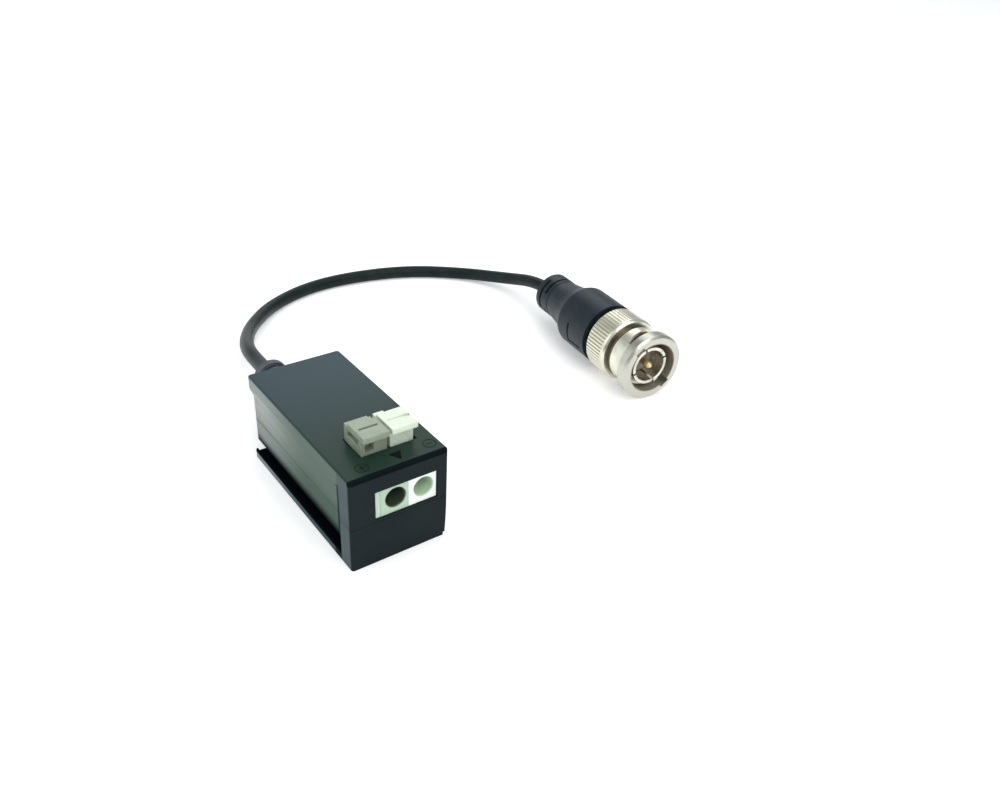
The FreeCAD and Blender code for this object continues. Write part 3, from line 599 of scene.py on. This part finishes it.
@dataclass(frozen=True)
class PinFinish(TurnedFinish):
    """The pin's gilding: a bright tip, and behind it the pin darkened with painted shade."""

    # The colour behind the tip is painted shade.
    shaft_shade: Colour = (0.30, 0.22, 0.10)
    shaft_shade_mm: Span = (1.7, 2.5)

    def tint(self, bench: Bench, dull: Term) -> tuple[Term, Term | Number]:
        """Mix the gilding's colour from the place along the plug.

        Args:
            bench: The bench.
            dull: 1 on the dull patches.

        Returns:
            The colour, and how far it is metal.
        """
        reach, _ = self.axes(bench)
        tip = bench.mix(dull, self.colour, self.shade)
        # Painted shade on the pin behind its tip.
        return bench.mix(reach.step(*self.shaft_shade_mm), tip, self.shaft_shade), self.metallic


@dataclass(frozen=True)
class NutFinish(TurnedFinish):
    """The nut's plating: a darker rim and a paler knurl than the neck, and painted shade in the
    knurl's furrows, the groove before the knurl and the nut's inside.
    """

    rim: Colour = (0.55, 0.545, 0.48)
    knurl: Colour = (0.80, 0.775, 0.64)
    # The next two colours are painted shade: in the groove and the knurl's furrows, and in the
    # nut's inside.
    nut_shade: Colour = (0.13, 0.105, 0.075)
    bore_shade: Colour = (0.30, 0.26, 0.205)
    rim_end_mm: Span = (2.8, 3.0)
    groove_start_mm: Span = (6.85, 6.95)
    groove_end_mm: Span = (8.25, 8.15)
    groove_radius_mm: Span = (6.45, 6.25)
    knurl_start_mm: Span = (9.1, 9.4)
    valley_radius_mm: Span = (7.2, 7.0)
    valley_shade_weight: float = 0.3
    bore_radius_mm: Span = (5.75, 5.5)
    bore_dullness: float = 0.7

    def tint(self, bench: Bench, dull: Term) -> tuple[Term, Term | Number]:
        """Mix the colour from the place along the plug and the distance from its axis.

        Args:
            bench: The bench.
            dull: 1 on the dull patches.

        Returns:
            The colour, and how far it is metal.
        """
        reach, radius = self.axes(bench)
        behind = reach.step(*self.knurl_start_mm)
        groove = reach.step(*self.groove_start_mm) * reach.step(*self.groove_end_mm)
        groove = groove * radius.step(*self.groove_radius_mm)
        valley_shade = behind * radius.step(*self.valley_radius_mm) * self.valley_shade_weight
        bore_shade = radius.step(*self.bore_radius_mm)
        neck = bench.mix(dull, self.colour, self.shade)
        colour = bench.mix(reach.step(*self.rim_end_mm), self.rim, neck)
        colour = bench.mix(behind, colour, self.knurl)
        # Painted shade in the groove and the knurl's furrows, and in the nut's inside, which is
        # also made less metallic.
        colour = bench.mix(bench.largest(groove, valley_shade), colour, self.nut_shade)
        return bench.mix(bore_shade, colour, self.bore_shade), 1.0 - bore_shade * self.bore_dullness


@dataclass(frozen=True)
class JacketFinish:
    """Extruded or moulded soft plastic with a faint waxy sheen, and a painted sheen where a pale
    colour is given.
    """

    name: str
    colour: Colour
    shade: Colour
    roughness: float = 0.4
    wave_mm: float = 1.8
    wave_depth_mm: float = 0.02
    grain_mm: float = 0.12
    smear_mm: float = 5.0
    tone_span: Span = (0.35, 0.68)
    gloss: float = 0.4
    # A pale colour is a painted sheen next to the housing.
    pale: Colour | None = None
    pale_sheen_mm: Span = (38.0, 29.0)

    def build(self) -> bpy.types.Material:
        """Make the material, with a painted sheen that makes it paler next to the housing where a
        pale colour is given.

        Returns:
            The material.
        """
        bench = Bench(self.name)
        waves = bench.noise(self.wave_mm, 3.0)
        grain = bench.noise(self.grain_mm, 2.0)
        smears = bench.noise(self.smear_mm, 5.0)
        tone = (waves * 0.5 + smears * 0.5).step(*self.tone_span)
        height = waves * 0.75 + grain * 0.25
        colour = bench.mix(tone, self.shade, self.colour)
        # Painted sheen next to the housing.
        if self.pale:
            colour = bench.mix(bench.along("Y").step(*self.pale_sheen_mm), colour, self.pale)
        return bench.surface(
            {
                "Base Color": colour,
                "Roughness": self.roughness + smears * 0.12 + grain * 0.05 - 0.06,
                "Normal": bench.bump(height, self.wave_depth_mm, 0.5),
                "Specular IOR Level": self.gloss,
            }
        )


@dataclass(frozen=True)
class BoardFinish:
    """Solder resist over copper tracks."""

    name: str
    colour: Colour
    shade: Colour
    weave_mm: float = 0.3
    weave_stretch: Triple = (1.0, 0.2, 1.0)
    track_mm: float = 3.0
    track_stretch: Triple = (1.0, 0.35, 1.0)
    track_span: Span = (0.5, 0.52)
    track_depth_mm: float = 0.03

    def build(self) -> bpy.types.Material:
        """Make the material.

        Returns:
            The material.
        """
        bench = Bench(self.name)
        weave = bench.noise(self.weave_mm, 2.0, bench.stretched(self.weave_stretch))
        tracks = bench.noise(self.track_mm, 0.0, bench.stretched(self.track_stretch))
        tracks = tracks.step(*self.track_span)
        return bench.surface(
            {
                "Base Color": bench.mix(tracks * 0.6 + weave * 0.2, self.shade, self.colour),
                "Roughness": 0.3 + weave * 0.15,
                "Normal": bench.bump(tracks, self.track_depth_mm, 0.7),
            }
        )


@dataclass(frozen=True)
class SinteredFinish:
    """Sintered ceramic or ferrite with fine pores."""

    name: str
    colour: Colour
    shade: Colour
    roughness: float = 0.6
    pore_mm: float = 0.12
    pit_span: Span = (0.35, 0.5)
    pit_depth_mm: float = 0.02

    def build(self) -> bpy.types.Material:
        """Make the material.

        Returns:
            The material.
        """
        bench = Bench(self.name)
        pores = bench.noise(self.pore_mm, 4.0)
        pits = pores.step(*self.pit_span)
        return bench.surface(
            {
                "Base Color": bench.mix(pits, self.shade, self.colour),
                "Roughness": self.roughness + pores * 0.2,
                "Normal": bench.bump(pits, self.pit_depth_mm, 0.6),
            }
        )


@dataclass(frozen=True)
class FloorFinish:
    """Seamless pale studio floor."""

    name: str = "studio_floor"
    colour: Colour = (0.97, 0.97, 0.97)
    roughness: float = 0.9
    lift: float = 0.3

    def build(self) -> bpy.types.Material:
        """Make the material.

        Returns:
            The material.
        """
        return Bench(self.name).surface(
            {
                "Base Color": self.colour,
                "Roughness": self.roughness,
                "Emission Color": self.colour,
                "Emission Strength": self.lift,
            }
        )


FINISHES: dict[str, Any] = {
    # Lit and shaded copies of one black, with painted sheen on the top's rear, the wall and the
    # column; the last colour is for the parting line and painted shade.
    "housing": ShellFinish(
        "black_housing",
        front=(0.0115, 0.0185, 0.0205),
        front_shade=(0.0085, 0.0140, 0.0170),
        top=(0.0150, 0.0370, 0.0260),
        top_rear_sheen=(0.036, 0.062, 0.076),
        wall=(0.078, 0.118, 0.096),
        column=(0.062, 0.088, 0.096),
        seam_and_shade=(0.003, 0.005, 0.008),
    ),
    # Near-black painted shade, for the sunk arrow on the top and the groove in the boot's side.
    "mark": MouldedFinish(
        "painted_shade_mark", (0.003, 0.005, 0.005), (0.002, 0.003, 0.003), roughness=0.7, gloss=0.1
    ),
    "faint_mark": MouldedFinish(
        "faint_mark", (0.013, 0.022, 0.020), (0.008, 0.014, 0.013), roughness=0.6, gloss=0.1
    ),
    # The poles' inner colours are painted shade in their wire entries.
    "pole_green": MouldedFinish(
        "pale_green_pole", (0.46, 0.61, 0.455), (0.40, 0.545, 0.40), roughness=0.3, glow=0.2,
        inner=(0.06, 0.08, 0.055),
    ),
    "pole_white": MouldedFinish(
        "white_pole", (0.92, 0.97, 0.92), (0.86, 0.92, 0.87), roughness=0.3, glow=0.2,
        inner=(0.60, 0.74, 0.56),
    ),
    "plate": MouldedFinish(
        "grey_end_plate", (0.52, 0.66, 0.53), (0.46, 0.59, 0.48), roughness=0.3
    ),
    "lever_grey": MouldedFinish(
        "grey_lever", (0.320, 0.378, 0.290), (0.26, 0.31, 0.23), roughness=0.34,
        blotch_mm=2.0, glow=0.15,
    ),
    "lever_white": MouldedFinish(
        "white_lever", (0.80, 0.88, 0.74), (0.72, 0.79, 0.65), roughness=0.34,
        blotch_mm=2.0, glow=0.3,
    ),
    "nickel": PlatedFinish(
        "nickel_plating", (0.74, 0.73, 0.64), (0.55, 0.53, 0.45), turn=PLUG_TURN
    ),
    # Painted shade darkens the nut's groove, its knurl's furrows and its inside.
    "nut": NutFinish(
        "nickel_nut", (0.80, 0.80, 0.68), (0.64, 0.63, 0.52), roughness=0.27,
        turn=PLUG_TURN, front_mm=PLUG_FRONT_MM,
    ),
    "tin": PlatedFinish(
        "tinned_metal", (0.72, 0.72, 0.70), (0.58, 0.57, 0.54), roughness=0.3
    ),
    "spring": PlatedFinish(
        "spring_strip", (0.62, 0.61, 0.58), (0.48, 0.47, 0.45), roughness=0.28
    ),
    # The pin behind its tip is darkened with painted shade.
    "gilt": PinFinish(
        "gilded_pin", (0.90, 0.72, 0.34), (0.76, 0.58, 0.24), roughness=0.3,
        turn=PLUG_TURN, metallic=0.5, front_mm=PLUG_FRONT_MM,
    ),
    "copper": PlatedFinish(
        "enamelled_wire", (0.60, 0.24, 0.10), (0.42, 0.14, 0.06), roughness=0.25
    ),
    "boot": JacketFinish(
        "moulded_boot", (0.016, 0.028, 0.036), (0.010, 0.017, 0.024), gloss=0.24
    ),
    "relief": JacketFinish(
        "moulded_relief", (0.082, 0.096, 0.112), (0.052, 0.064, 0.078), roughness=0.5, gloss=0.5
    ),
    # The lead's pale colour is a painted sheen next to the housing.
    "jacket": JacketFinish(
        "lead_jacket", (0.013, 0.021, 0.021), (0.008, 0.014, 0.014), roughness=0.36, gloss=0.12,
        pale=(0.055, 0.066, 0.076),
    ),
    "gasket": JacketFinish("red_gasket", (0.42, 0.03, 0.03), (0.28, 0.02, 0.02)),
    # The insulator's brown is painted shade, for the recess that it sits in.
    "dielectric": MouldedFinish(
        "dielectric_in_painted_shade", (0.34, 0.29, 0.23), (0.24, 0.20, 0.155), roughness=0.4
    ),
    "board": BoardFinish("solder_resist", (0.05, 0.30, 0.12), (0.02, 0.16, 0.06)),
    "ferrite": SinteredFinish("ferrite_ring", (0.10, 0.10, 0.10), (0.04, 0.04, 0.04)),
    "chip": SinteredFinish("chip_body", (0.55, 0.42, 0.28), (0.40, 0.30, 0.20)),
    "component": SinteredFinish("component_body", (0.05, 0.05, 0.05), (0.02, 0.02, 0.02)),
}


class Palette:
    """Builds each finish once."""

    def __init__(self) -> None:
        """Start with no material."""
        self.made: dict[str, bpy.types.Material] = {}

    def get(self, name: str) -> bpy.types.Material:
        """Give a finish's material.

        Args:
            name: Key of the finish.

        Returns:
            The material.
        """
        if name not in self.made:
            self.made[name] = FINISHES[name].build()
        return self.made[name]


@dataclass(frozen=True)
class Copy:
    """How the finished copy of a solid is made.

    It names the solid's node and its finish, and gives the width of the rounding on its sharp
    edges with the rows of faces across it.
    """

    node: str
    finish: str
    round_mm: float
    segments: int = 3


class Workshop:
    """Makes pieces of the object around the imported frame."""

    weld_mm: float = 0.002
    flat_degrees: float = 1.0
    corner_degrees: float = 32.0
    area_weight: int = 100

    def __init__(self, frame: dict[str, Any]) -> None:
        """Keep the frame.
        """
        self.frame = frame
        self.palette = Palette()
        self.slots = {
            row["node"]: row["material_slot"] for row in frame["record"]["subparts"]
        }
        self.homes = {
            node: body
            for body, nodes in frame["record"]["behaviour"]["bodies"].items()
            for node in nodes
        }

    def add(
        self, name: str, shape: bmesh.types.BMesh, finish: str, smooth: bool = True
    ) -> bpy.types.Object:
        """Turn a bmesh into an object with a finish.

        Args:
            name: The piece's name.
            shape: Its mesh, which is freed.
            finish: Key of its finish.
            smooth: Whether its faces are shaded smooth.

        Returns:
            The object.
        """
        mesh = bpy.data.meshes.new(name)
        for face in shape.faces:
            face.smooth = smooth
        shape.to_mesh(mesh)
        shape.free()
        mesh.materials.append(self.palette.get(finish))
        piece = bpy.data.objects.new(name, mesh)
        bpy.context.scene.collection.objects.link(piece)
        return piece

    def seat(self, piece: bpy.types.Object, node: str, replace: bool = True) -> None:
        """Let a piece ride with a node's body.

        Args:
            piece: The piece.
            node: The node that it belongs to.
            replace: Whether the piece stands for the node.
        """
        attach(piece, self.homes[node])
        if replace:
            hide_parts(node)
        LOG.info("%s rides with %s", piece.name, self.homes[node])

    def refine(self, copy: Copy) -> None:
        """Copy a node's mesh, merge its triangles and round its sharp edges.

        Args:
            copy: The node, its finish and its rounding.
        """
        shape = bmesh.new()
        shape.from_mesh(self.frame["nodes"][copy.node].data)
        bmesh.ops.remove_doubles(shape, verts=shape.verts[:], dist=self.weld_mm * MM)
        bmesh.ops.dissolve_limit(
            shape,
            angle_limit=math.radians(self.flat_degrees),
            use_dissolve_boundaries=False,
            verts=shape.verts[:],
            edges=shape.edges[:],
        )
        bmesh.ops.recalc_face_normals(shape, faces=shape.faces[:])
        piece = self.add(copy.node + "_finished", shape, copy.finish)
        self.soften(piece, copy.round_mm, copy.segments)
        self.seat(piece, copy.node)

    def soften(self, piece: bpy.types.Object, round_mm: float, segments: int) -> None:
        """Round a piece's sharp edges with a modifier.

        Args:
            piece: The piece.
            round_mm: Width of the rounding.
            segments: Rows of faces across it.
        """
        bevel = piece.modifiers.new("rounding", "BEVEL")
        bevel.width = round_mm * MM
        bevel.segments = segments
        bevel.limit_method = "ANGLE"
        bevel.angle_limit = math.radians(self.corner_degrees)
        shading = piece.modifiers.new("shading", "WEIGHTED_NORMAL")
        shading.mode = "FACE_AREA"
        shading.weight = self.area_weight

    def dress(self, node: str, finish: str) -> None:
        """Give a carried-over node its material.

        Args:
            node: Name of the node.
            finish: Key of its finish.
        """
        mesh = self.frame["nodes"][node].data
        material = self.palette.get(finish)
        if not mesh.materials:
            mesh.materials.append(material)
        for index in range(len(mesh.materials)):
            mesh.materials[index] = material
        LOG.info("%s is dressed in %s", node, material.name)


@dataclass
class Housing:
    """The two shells and the marks moulded into the top."""

    shop: Workshop
    copies: tuple[Copy, ...] = (
        Copy("base_shell", "housing", 0.26),
        Copy("top_cover", "housing", 0.26),
    )
    plus_centre_mm: Spot = (-5.3, -16.4)
    minus_centre_mm: Spot = (7.1, -16.2)
    arrow_mm: tuple[Spot, ...] = ((-0.1, -15.45), (2.2, -15.45), (1.1, -17.6))
    ring_radius_mm: float = 1.15
    ring_width_mm: float = 0.16
    ring_steps: int = 48
    bar_mm: Spot = (1.2, 0.2)
    mark_lift_mm: float = 0.03
    weld_mm: float = 0.001

    def build(self) -> None:
        """Make the shells and the marks."""
        for copy in self.copies:
            self.shop.refine(copy)
        self.mark("plus_mark", self.plus_centre_mm, 2)
        self.mark("minus_mark", self.minus_centre_mm, 1)
        self.arrow()

    @property
    def top(self) -> float:
        """Height of the cover's top in metres."""
        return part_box("top_cover")[1][2]

    def mark(self, name: str, centre_mm: Spot, bars: int) -> None:
        """Make a ring with one or two bars in it.

        Args:
            name: The piece's name.
            centre_mm: Centre of the ring.
            bars: 1 for a minus and 2 for a plus.
        """
        shape = bmesh.new()
        outer = self.ring_radius_mm * MM
        inner = outer - self.ring_width_mm * MM
        ends = shape.verts.new((inner, 0, 0)), shape.verts.new((outer, 0, 0))
        edge = shape.edges.new(ends)
        bmesh.ops.spin(
            shape, geom=[*ends, edge], axis=(0, 0, 1), cent=(0, 0, 0),
            angle=math.tau, steps=self.ring_steps, use_merge=True,
        )
        length, width = (value * MM for value in self.bar_mm)
        size = Matrix.Diagonal((length, width, 1, 1))
        for index in range(bars):
            turn = Matrix.Rotation(index * math.pi / 2, 4, "Z")
            bmesh.ops.create_grid(shape, x_segments=1, y_segments=1, size=0.5, matrix=turn @ size)
        self.finish_mark(name, shape, centre_mm, "faint_mark")

    def arrow(self) -> None:
        """Make the sunk arrow that points to the wire entries, as a flat mark in painted shade.
        """
        shape = bmesh.new()
        corners = [shape.verts.new((x * MM, y * MM, 0)) for x, y in self.arrow_mm]
        bmesh.ops.contextual_create(shape, geom=corners)
        # The arrow's sunk look is painted shade.
        self.finish_mark("arrow_shade_mark", shape, (0.0, 0.0), "mark")

    def finish_mark(
        self, name: str, shape: bmesh.types.BMesh, centre_mm: Spot, finish: str
    ) -> None:
        """Give a flat mark its thickness and its place on the top.

        Args:
            name: The piece's name.
            shape: Its flat mesh.
            centre_mm: Its place.
            finish: Key of its finish.
        """
        lift = self.mark_lift_mm * MM
        bmesh.ops.remove_doubles(shape, verts=shape.verts[:], dist=self.weld_mm * MM)
        walls = bmesh.ops.extrude_face_region(shape, geom=shape.faces[:])["geom"]
        raised = [item for item in walls if isinstance(item, bmesh.types.BMVert)]
        bmesh.ops.translate(shape, verts=raised, vec=(0, 0, lift * 2))
        place = (centre_mm[0] * MM, centre_mm[1] * MM, self.top - lift)
        bmesh.ops.translate(shape, verts=shape.verts[:], vec=place)
        bmesh.ops.recalc_face_normals(shape, faces=shape.faces[:])
        piece = self.shop.add(name, shape, finish, smooth=False)
        self.shop.seat(piece, "top_cover", replace=False)


@dataclass
class Terminal:
    """The push-in terminal: poles, end plate, levers, contacts and springs."""

    shop: Workshop
    copies: tuple[Copy, ...] = (
        Copy("pole_body_left", "pole_green", 0.1, 2),
        Copy("pole_body_right", "pole_white", 0.1, 2),
        Copy("terminal_end_plate", "plate", 0.1, 2),
        Copy("release_lever_left", "lever_grey", 0.16),
        Copy("release_lever_right", "lever_white", 0.16),
        Copy("contact_bar_left", "tin", 0.08, 2),
        Copy("clamp_spring_left", "spring", 0.05, 2),
        Copy("contact_bar_right", "tin", 0.08, 2),
        Copy("clamp_spring_right", "spring", 0.05, 2),
    )

    def build(self) -> None:
        """Make the terminal's pieces."""
        for copy in self.copies:
            self.shop.refine(copy)


@dataclass
class Inside:
    """The circuit board and what is soldered to it."""

    shop: Workshop
    finishes: tuple[tuple[str, str], ...] = (
        ("circuit_board", "board"),
        ("balun_core", "ferrite"),
        ("balun_winding", "copper"),
        ("surge_suppressor", "component"),
        ("chip_capacitors", "chip"),
        ("cable_tail", "jacket"),
    )

    def build(self) -> None:
        """Dress the board and its components."""
        for node, finish in self.finishes:
            self.shop.dress(node, finish)


@dataclass
class Plug:
    """The bayonet plug with its boot."""

    shop: Workshop
    boot: Copy = Copy("plug_boot", "boot", 0.22)
    copies: tuple[Copy, ...] = (
        Copy("coupling_nut", "nut", 0.07, 2),
        Copy("plug_body", "nickel", 0.1, 2),
        Copy("outer_contact", "nickel", 0.06, 2),
        Copy("insulator", "dielectric", 0.08, 2),
        Copy("centre_pin", "gilt", 0.05, 2),
        Copy("gasket", "gasket", 0.15),
    )
    finishes: tuple[tuple[str, str], ...] = (
        ("spring_washer", "spring"),
        ("thrust_washer", "spring"),
        ("retaining_ring", "spring"),
        ("crimp_ferrule", "tin"),
        ("plug_cable_end", "jacket"),
    )
    boot_radius_mm: float = 7.1
    groove_width_mm: float = 0.58
    groove_lift_mm: float = 0.02
    groove_bend_mm: float = 22.4
    groove_front_mm: float = 18.0
    groove_angles: Span = (168.0, 203.0)
    groove_steps: int = 16

    def build(self) -> None:
        """Make the plug's pieces."""
        self.shop.refine(self.boot)
        self.groove_shade_marks()
        for copy in self.copies:
            self.shop.refine(copy)
        for node, finish in self.finishes:
            self.shop.dress(node, finish)

    def groove_shade_marks(self) -> None:
        """Paint the shade of the angled groove moulded into the boot's left side, as thin patches
        that hug the boot.
        """
        half = self.groove_width_mm / 2
        first, last = self.groove_angles
        spread = math.degrees(half / self.boot_radius_mm)
        bend = self.groove_bend_mm
        self.patch("boot_groove_shade_arc", (bend - half, bend + half), (first, last))
        line = (self.groove_front_mm, bend + half)
        self.patch("boot_groove_shade_line", line, (last - spread, last + spread))

    def patch(self, name: str, reach_mm: Span, angles: Span) -> None:
        """Make a thin patch of painted shade that hugs the boot: a section spun about the plug's
        axis.

        Args:
            name: The piece's name.
            reach_mm: Where it starts and ends behind the plug's front.
            angles: Where it starts and ends about the plug's axis, in degrees.
        """
        start, end = (value * MM for value in reach_mm)
        low, high = (math.radians(angle) for angle in angles)
        inner = (self.boot_radius_mm - self.groove_width_mm) * MM
        outer = (self.boot_radius_mm + self.groove_lift_mm) * MM
        size = Matrix.Diagonal((outer - inner, end - start, 1, 1))
        middle = Matrix.Translation(((inner + outer) / 2, (start + end) / 2, 0))
        section = Matrix.Rotation(-low, 4, "Y") @ middle @ size
        shape = bmesh.new()
        bmesh.ops.create_grid(shape, x_segments=1, y_segments=1, size=0.5, matrix=section)
        bmesh.ops.spin(
            shape, geom=[*shape.verts, *shape.edges, *shape.faces], axis=(0, -1, 0),
            cent=(0, 0, 0), angle=high - low, steps=self.groove_steps,
        )
        front = Matrix.Translation(Vector(PLUG_FRONT_MM) * MM)
        turned = front @ Matrix.Rotation(-PLUG_TURN, 4, "Z")
        bmesh.ops.transform(shape, matrix=turned, verts=shape.verts[:])
        bmesh.ops.recalc_face_normals(shape, faces=shape.faces[:])
        # The patch is painted shade in the groove's place.
        piece = self.shop.add(name, shape, "mark", smooth=False)
        self.shop.seat(piece, "plug_boot", replace=False)


@dataclass
class Lead:
    """The coaxial lead: its route repeats the solid's points, and its line is one curve."""

    shop: Workshop
    relief: Copy = Copy("strain_relief", "relief", 0.14)
    diameter_mm: float = 3.0
    length_mm: float = 139.6
    bends_mm: tuple[Triple, ...] = (
        (-1.4, 27.5, 11.0),
        (-1.4, 33.0, 11.0),
        (0.1, 42.5, 9.0),
        (3.7, 52.4, 6.0),
        (9.3, 63.2, 3.0),
        (18.6, 73.4, 1.5),
        (31.0, 78.2, 1.5),
        (44.0, 78.0, 1.5),
        (57.8, 74.2, 1.5),
        (69.4, 65.9, 1.5),
        (75.2, 55.2, 3.0),
    )
    boot_end_mm: float = 40.2
    last_run_mm: float = 6.6
    spline_order: int = 3
    spline_steps: int = 24
    round_steps: int = 8
    carried: tuple[str, ...] = (
        "cable_tail", "thrust_washer", "spring_washer", "retaining_ring", "crimp_ferrule",
        "plug_cable_end",
    )
    copied: tuple[str, ...] = (
        "strain_relief", "plug_boot", "coupling_nut", "plug_body", "outer_contact",
        "insulator", "centre_pin", "gasket",
    )

    def points(self) -> list[Vector]:
        """List the route's control points.

        Returns:
            The points in metres, from the housing to the plug.
        """
        along = Vector((math.sin(PLUG_TURN), math.cos(PLUG_TURN), 0.0))
        end = Vector(PLUG_FRONT_MM) + along * self.boot_end_mm
        route = [Vector(point) for point in self.bends_mm]
        return [point * MM for point in [*route, end + along * self.last_run_mm, end]]

    def build(self) -> bpy.types.Object:
        """Make the lead and its strain relief.

        Returns:
            The lead.
        """
        self.shop.refine(self.relief)
        curve = bpy.data.curves.new("lead", "CURVE")
        curve.dimensions = "3D"
        spline = curve.splines.new("NURBS")
        route = self.points()
        spline.points.add(len(route) - 1)
        for point, place in zip(spline.points, route):
            point.co = (*place, 1.0)
        spline.order_u = self.spline_order
        spline.use_endpoint_u = True
        spline.resolution_u = self.spline_steps
        curve.bevel_depth = self.diameter_mm * MM / 2
        curve.bevel_resolution = self.round_steps
        curve.use_fill_caps = True
        curve.materials.append(self.shop.palette.get("jacket"))
        piece = bpy.data.objects.new("lead", curve)
        bpy.context.scene.collection.objects.link(piece)
        self.shop.seat(piece, "pigtail_cable")
        return piece


class Side(Enum):
    """Where a lamp stands, as its azimuth, elevation and distance in metres."""

    ABOVE = (20.0, 78.0, 0.8)
    LEFT = (-118.0, 26.0, 0.8)
    FRONT = (-8.0, 42.0, 0.8)
    BEHIND = (148.0, 34.0, 0.9)


@dataclass
class Studio:
    """Camera, lamps and floor. Each lamp has its power in watts and its size in metres."""

    eye_azimuth: float = -37.584
    eye_elevation: float = 31.886
    eye_roll: float = 3.234
    eye_distance_mm: float = 174.38
    eye_target_mm: Triple = (31.80, -2.15, 10.27)
    focal_px: float = 918.7
    image_width_px: float = 1000.0
    sensor_mm: float = 36.0
    clip_m: Span = (0.005, 10.0)
    lamps: dict[Side, tuple[float, float]] = field(
        default_factory=lambda: {
            Side.ABOVE: (3.6, 0.9),
            Side.LEFT: (1.6, 0.7),
            Side.FRONT: (1.6, 0.5),
            Side.BEHIND: (1.1, 0.45),
        }
    )
    lamp_centre_m: Triple = (0.03, 0.02, 0.0)
    room_colours: tuple[tuple[float, Colour], ...] = (
        (0.0, (0.55, 0.58, 0.59)),
        (0.7, (0.34, 0.36, 0.37)),
    )
    room_strength: float = 1.0
    floor_reach_m: float = 3.0

    @staticmethod
    def back(azimuth: float, elevation: float) -> Vector:
        """Give the direction from the object to a place around it.

        Args:
            azimuth: Degrees round the object, 0 in front of it.
            elevation: Degrees above the horizon.

        Returns:
            A unit vector.
        """
        turn, rise = math.radians(azimuth), math.radians(elevation)
        level = math.cos(rise)
        return Vector((math.sin(turn) * level, -math.cos(turn) * level, math.sin(rise)))

    def build(self) -> None:
        """Set up the view, the light and the floor."""
        self.camera()
        self.light()
        self.floor()
        bpy.context.scene.view_settings.view_transform = "Standard"

    def camera(self) -> None:
        """Place the camera where the photo was taken from."""
        data = bpy.data.cameras.new("camera")
        data.sensor_width = self.sensor_mm
        data.lens = self.focal_px * self.sensor_mm / self.image_width_px
        data.clip_start, data.clip_end = self.clip_m
        back = self.back(self.eye_azimuth, self.eye_elevation)
        turn = math.radians(self.eye_azimuth)
        level = Vector((math.cos(turn), math.sin(turn), 0.0))
        upright = back.cross(level)
        roll = math.radians(self.eye_roll)
        right = level * math.cos(roll) + upright * math.sin(roll)
        above = back.cross(right)
        place = (Vector(self.eye_target_mm) + back * self.eye_distance_mm) * MM
        camera = bpy.data.objects.new("camera", data)
        bpy.context.scene.collection.objects.link(camera)
        rotation = Matrix((right, above, back)).transposed().to_4x4()
        camera.matrix_world = Matrix.Translation(place) @ rotation
        bpy.context.scene.camera = camera

    def light(self) -> None:
        """Hang soft lamps round the object and fill the room with pale light."""
        centre = Vector(self.lamp_centre_m)
        for side, (power, size) in self.lamps.items():
            azimuth, elevation, distance = side.value
            data = bpy.data.lights.new("lamp_" + side.name.lower(), "AREA")
            data.energy = power
            data.size = size
            lamp = bpy.data.objects.new(data.name, data)
            bpy.context.scene.collection.objects.link(lamp)
            back = self.back(azimuth, elevation)
            lamp.location = centre + back * distance
            lamp.rotation_euler = back.to_track_quat("Z", "Y").to_euler()
        self.room()

    def room(self) -> None:
        """Fill the room with plain light that is paler near the horizon than overhead."""
        world = bpy.data.worlds.new("room")
        bpy.context.scene.world = world
        world.use_nodes = True
        tree = world.node_tree
        tree.nodes.clear()
        place = tree.nodes.new("ShaderNodeTexCoord")
        split = tree.nodes.new("ShaderNodeSeparateXYZ")
        ramp = tree.nodes.new("ShaderNodeValToRGB")
        for element, (position, colour) in zip(ramp.color_ramp.elements, self.room_colours):
            element.position = position
            element.color = (*colour, 1.0)
        fill = tree.nodes.new("ShaderNodeBackground")
        fill.inputs["Strength"].default_value = self.room_strength
        output = tree.nodes.new("ShaderNodeOutputWorld")
        tree.links.new(place.outputs["Generated"], split.inputs[0])
        tree.links.new(split.outputs["Z"], ramp.inputs[0])
        tree.links.new(ramp.outputs[0], fill.inputs["Color"])
        tree.links.new(fill.outputs[0], output.inputs[0])

    def floor(self) -> None:
        """Lay the pale floor."""
        shape = bmesh.new()
        bmesh.ops.create_grid(shape, x_segments=1, y_segments=1, size=self.floor_reach_m)
        mesh = bpy.data.meshes.new("floor")
        shape.to_mesh(mesh)
        shape.free()
        mesh.materials.append(FloorFinish().build())
        floor = bpy.data.objects.new("floor", mesh)
        bpy.context.scene.collection.objects.link(floor)


def main() -> None:
    """Build every sub-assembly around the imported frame."""
    logging.basicConfig(level=logging.INFO, format="%(message)s")
    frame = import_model()
    shop = Workshop(frame)
    for part in (Housing(shop), Terminal(shop), Inside(shop), Plug(shop)):
        part.build()
        LOG.info("%s is done", type(part).__name__)
    run = Lead(shop)
    lead = run.build()
    Studio().build()


if __name__ == "__main__":
    main()
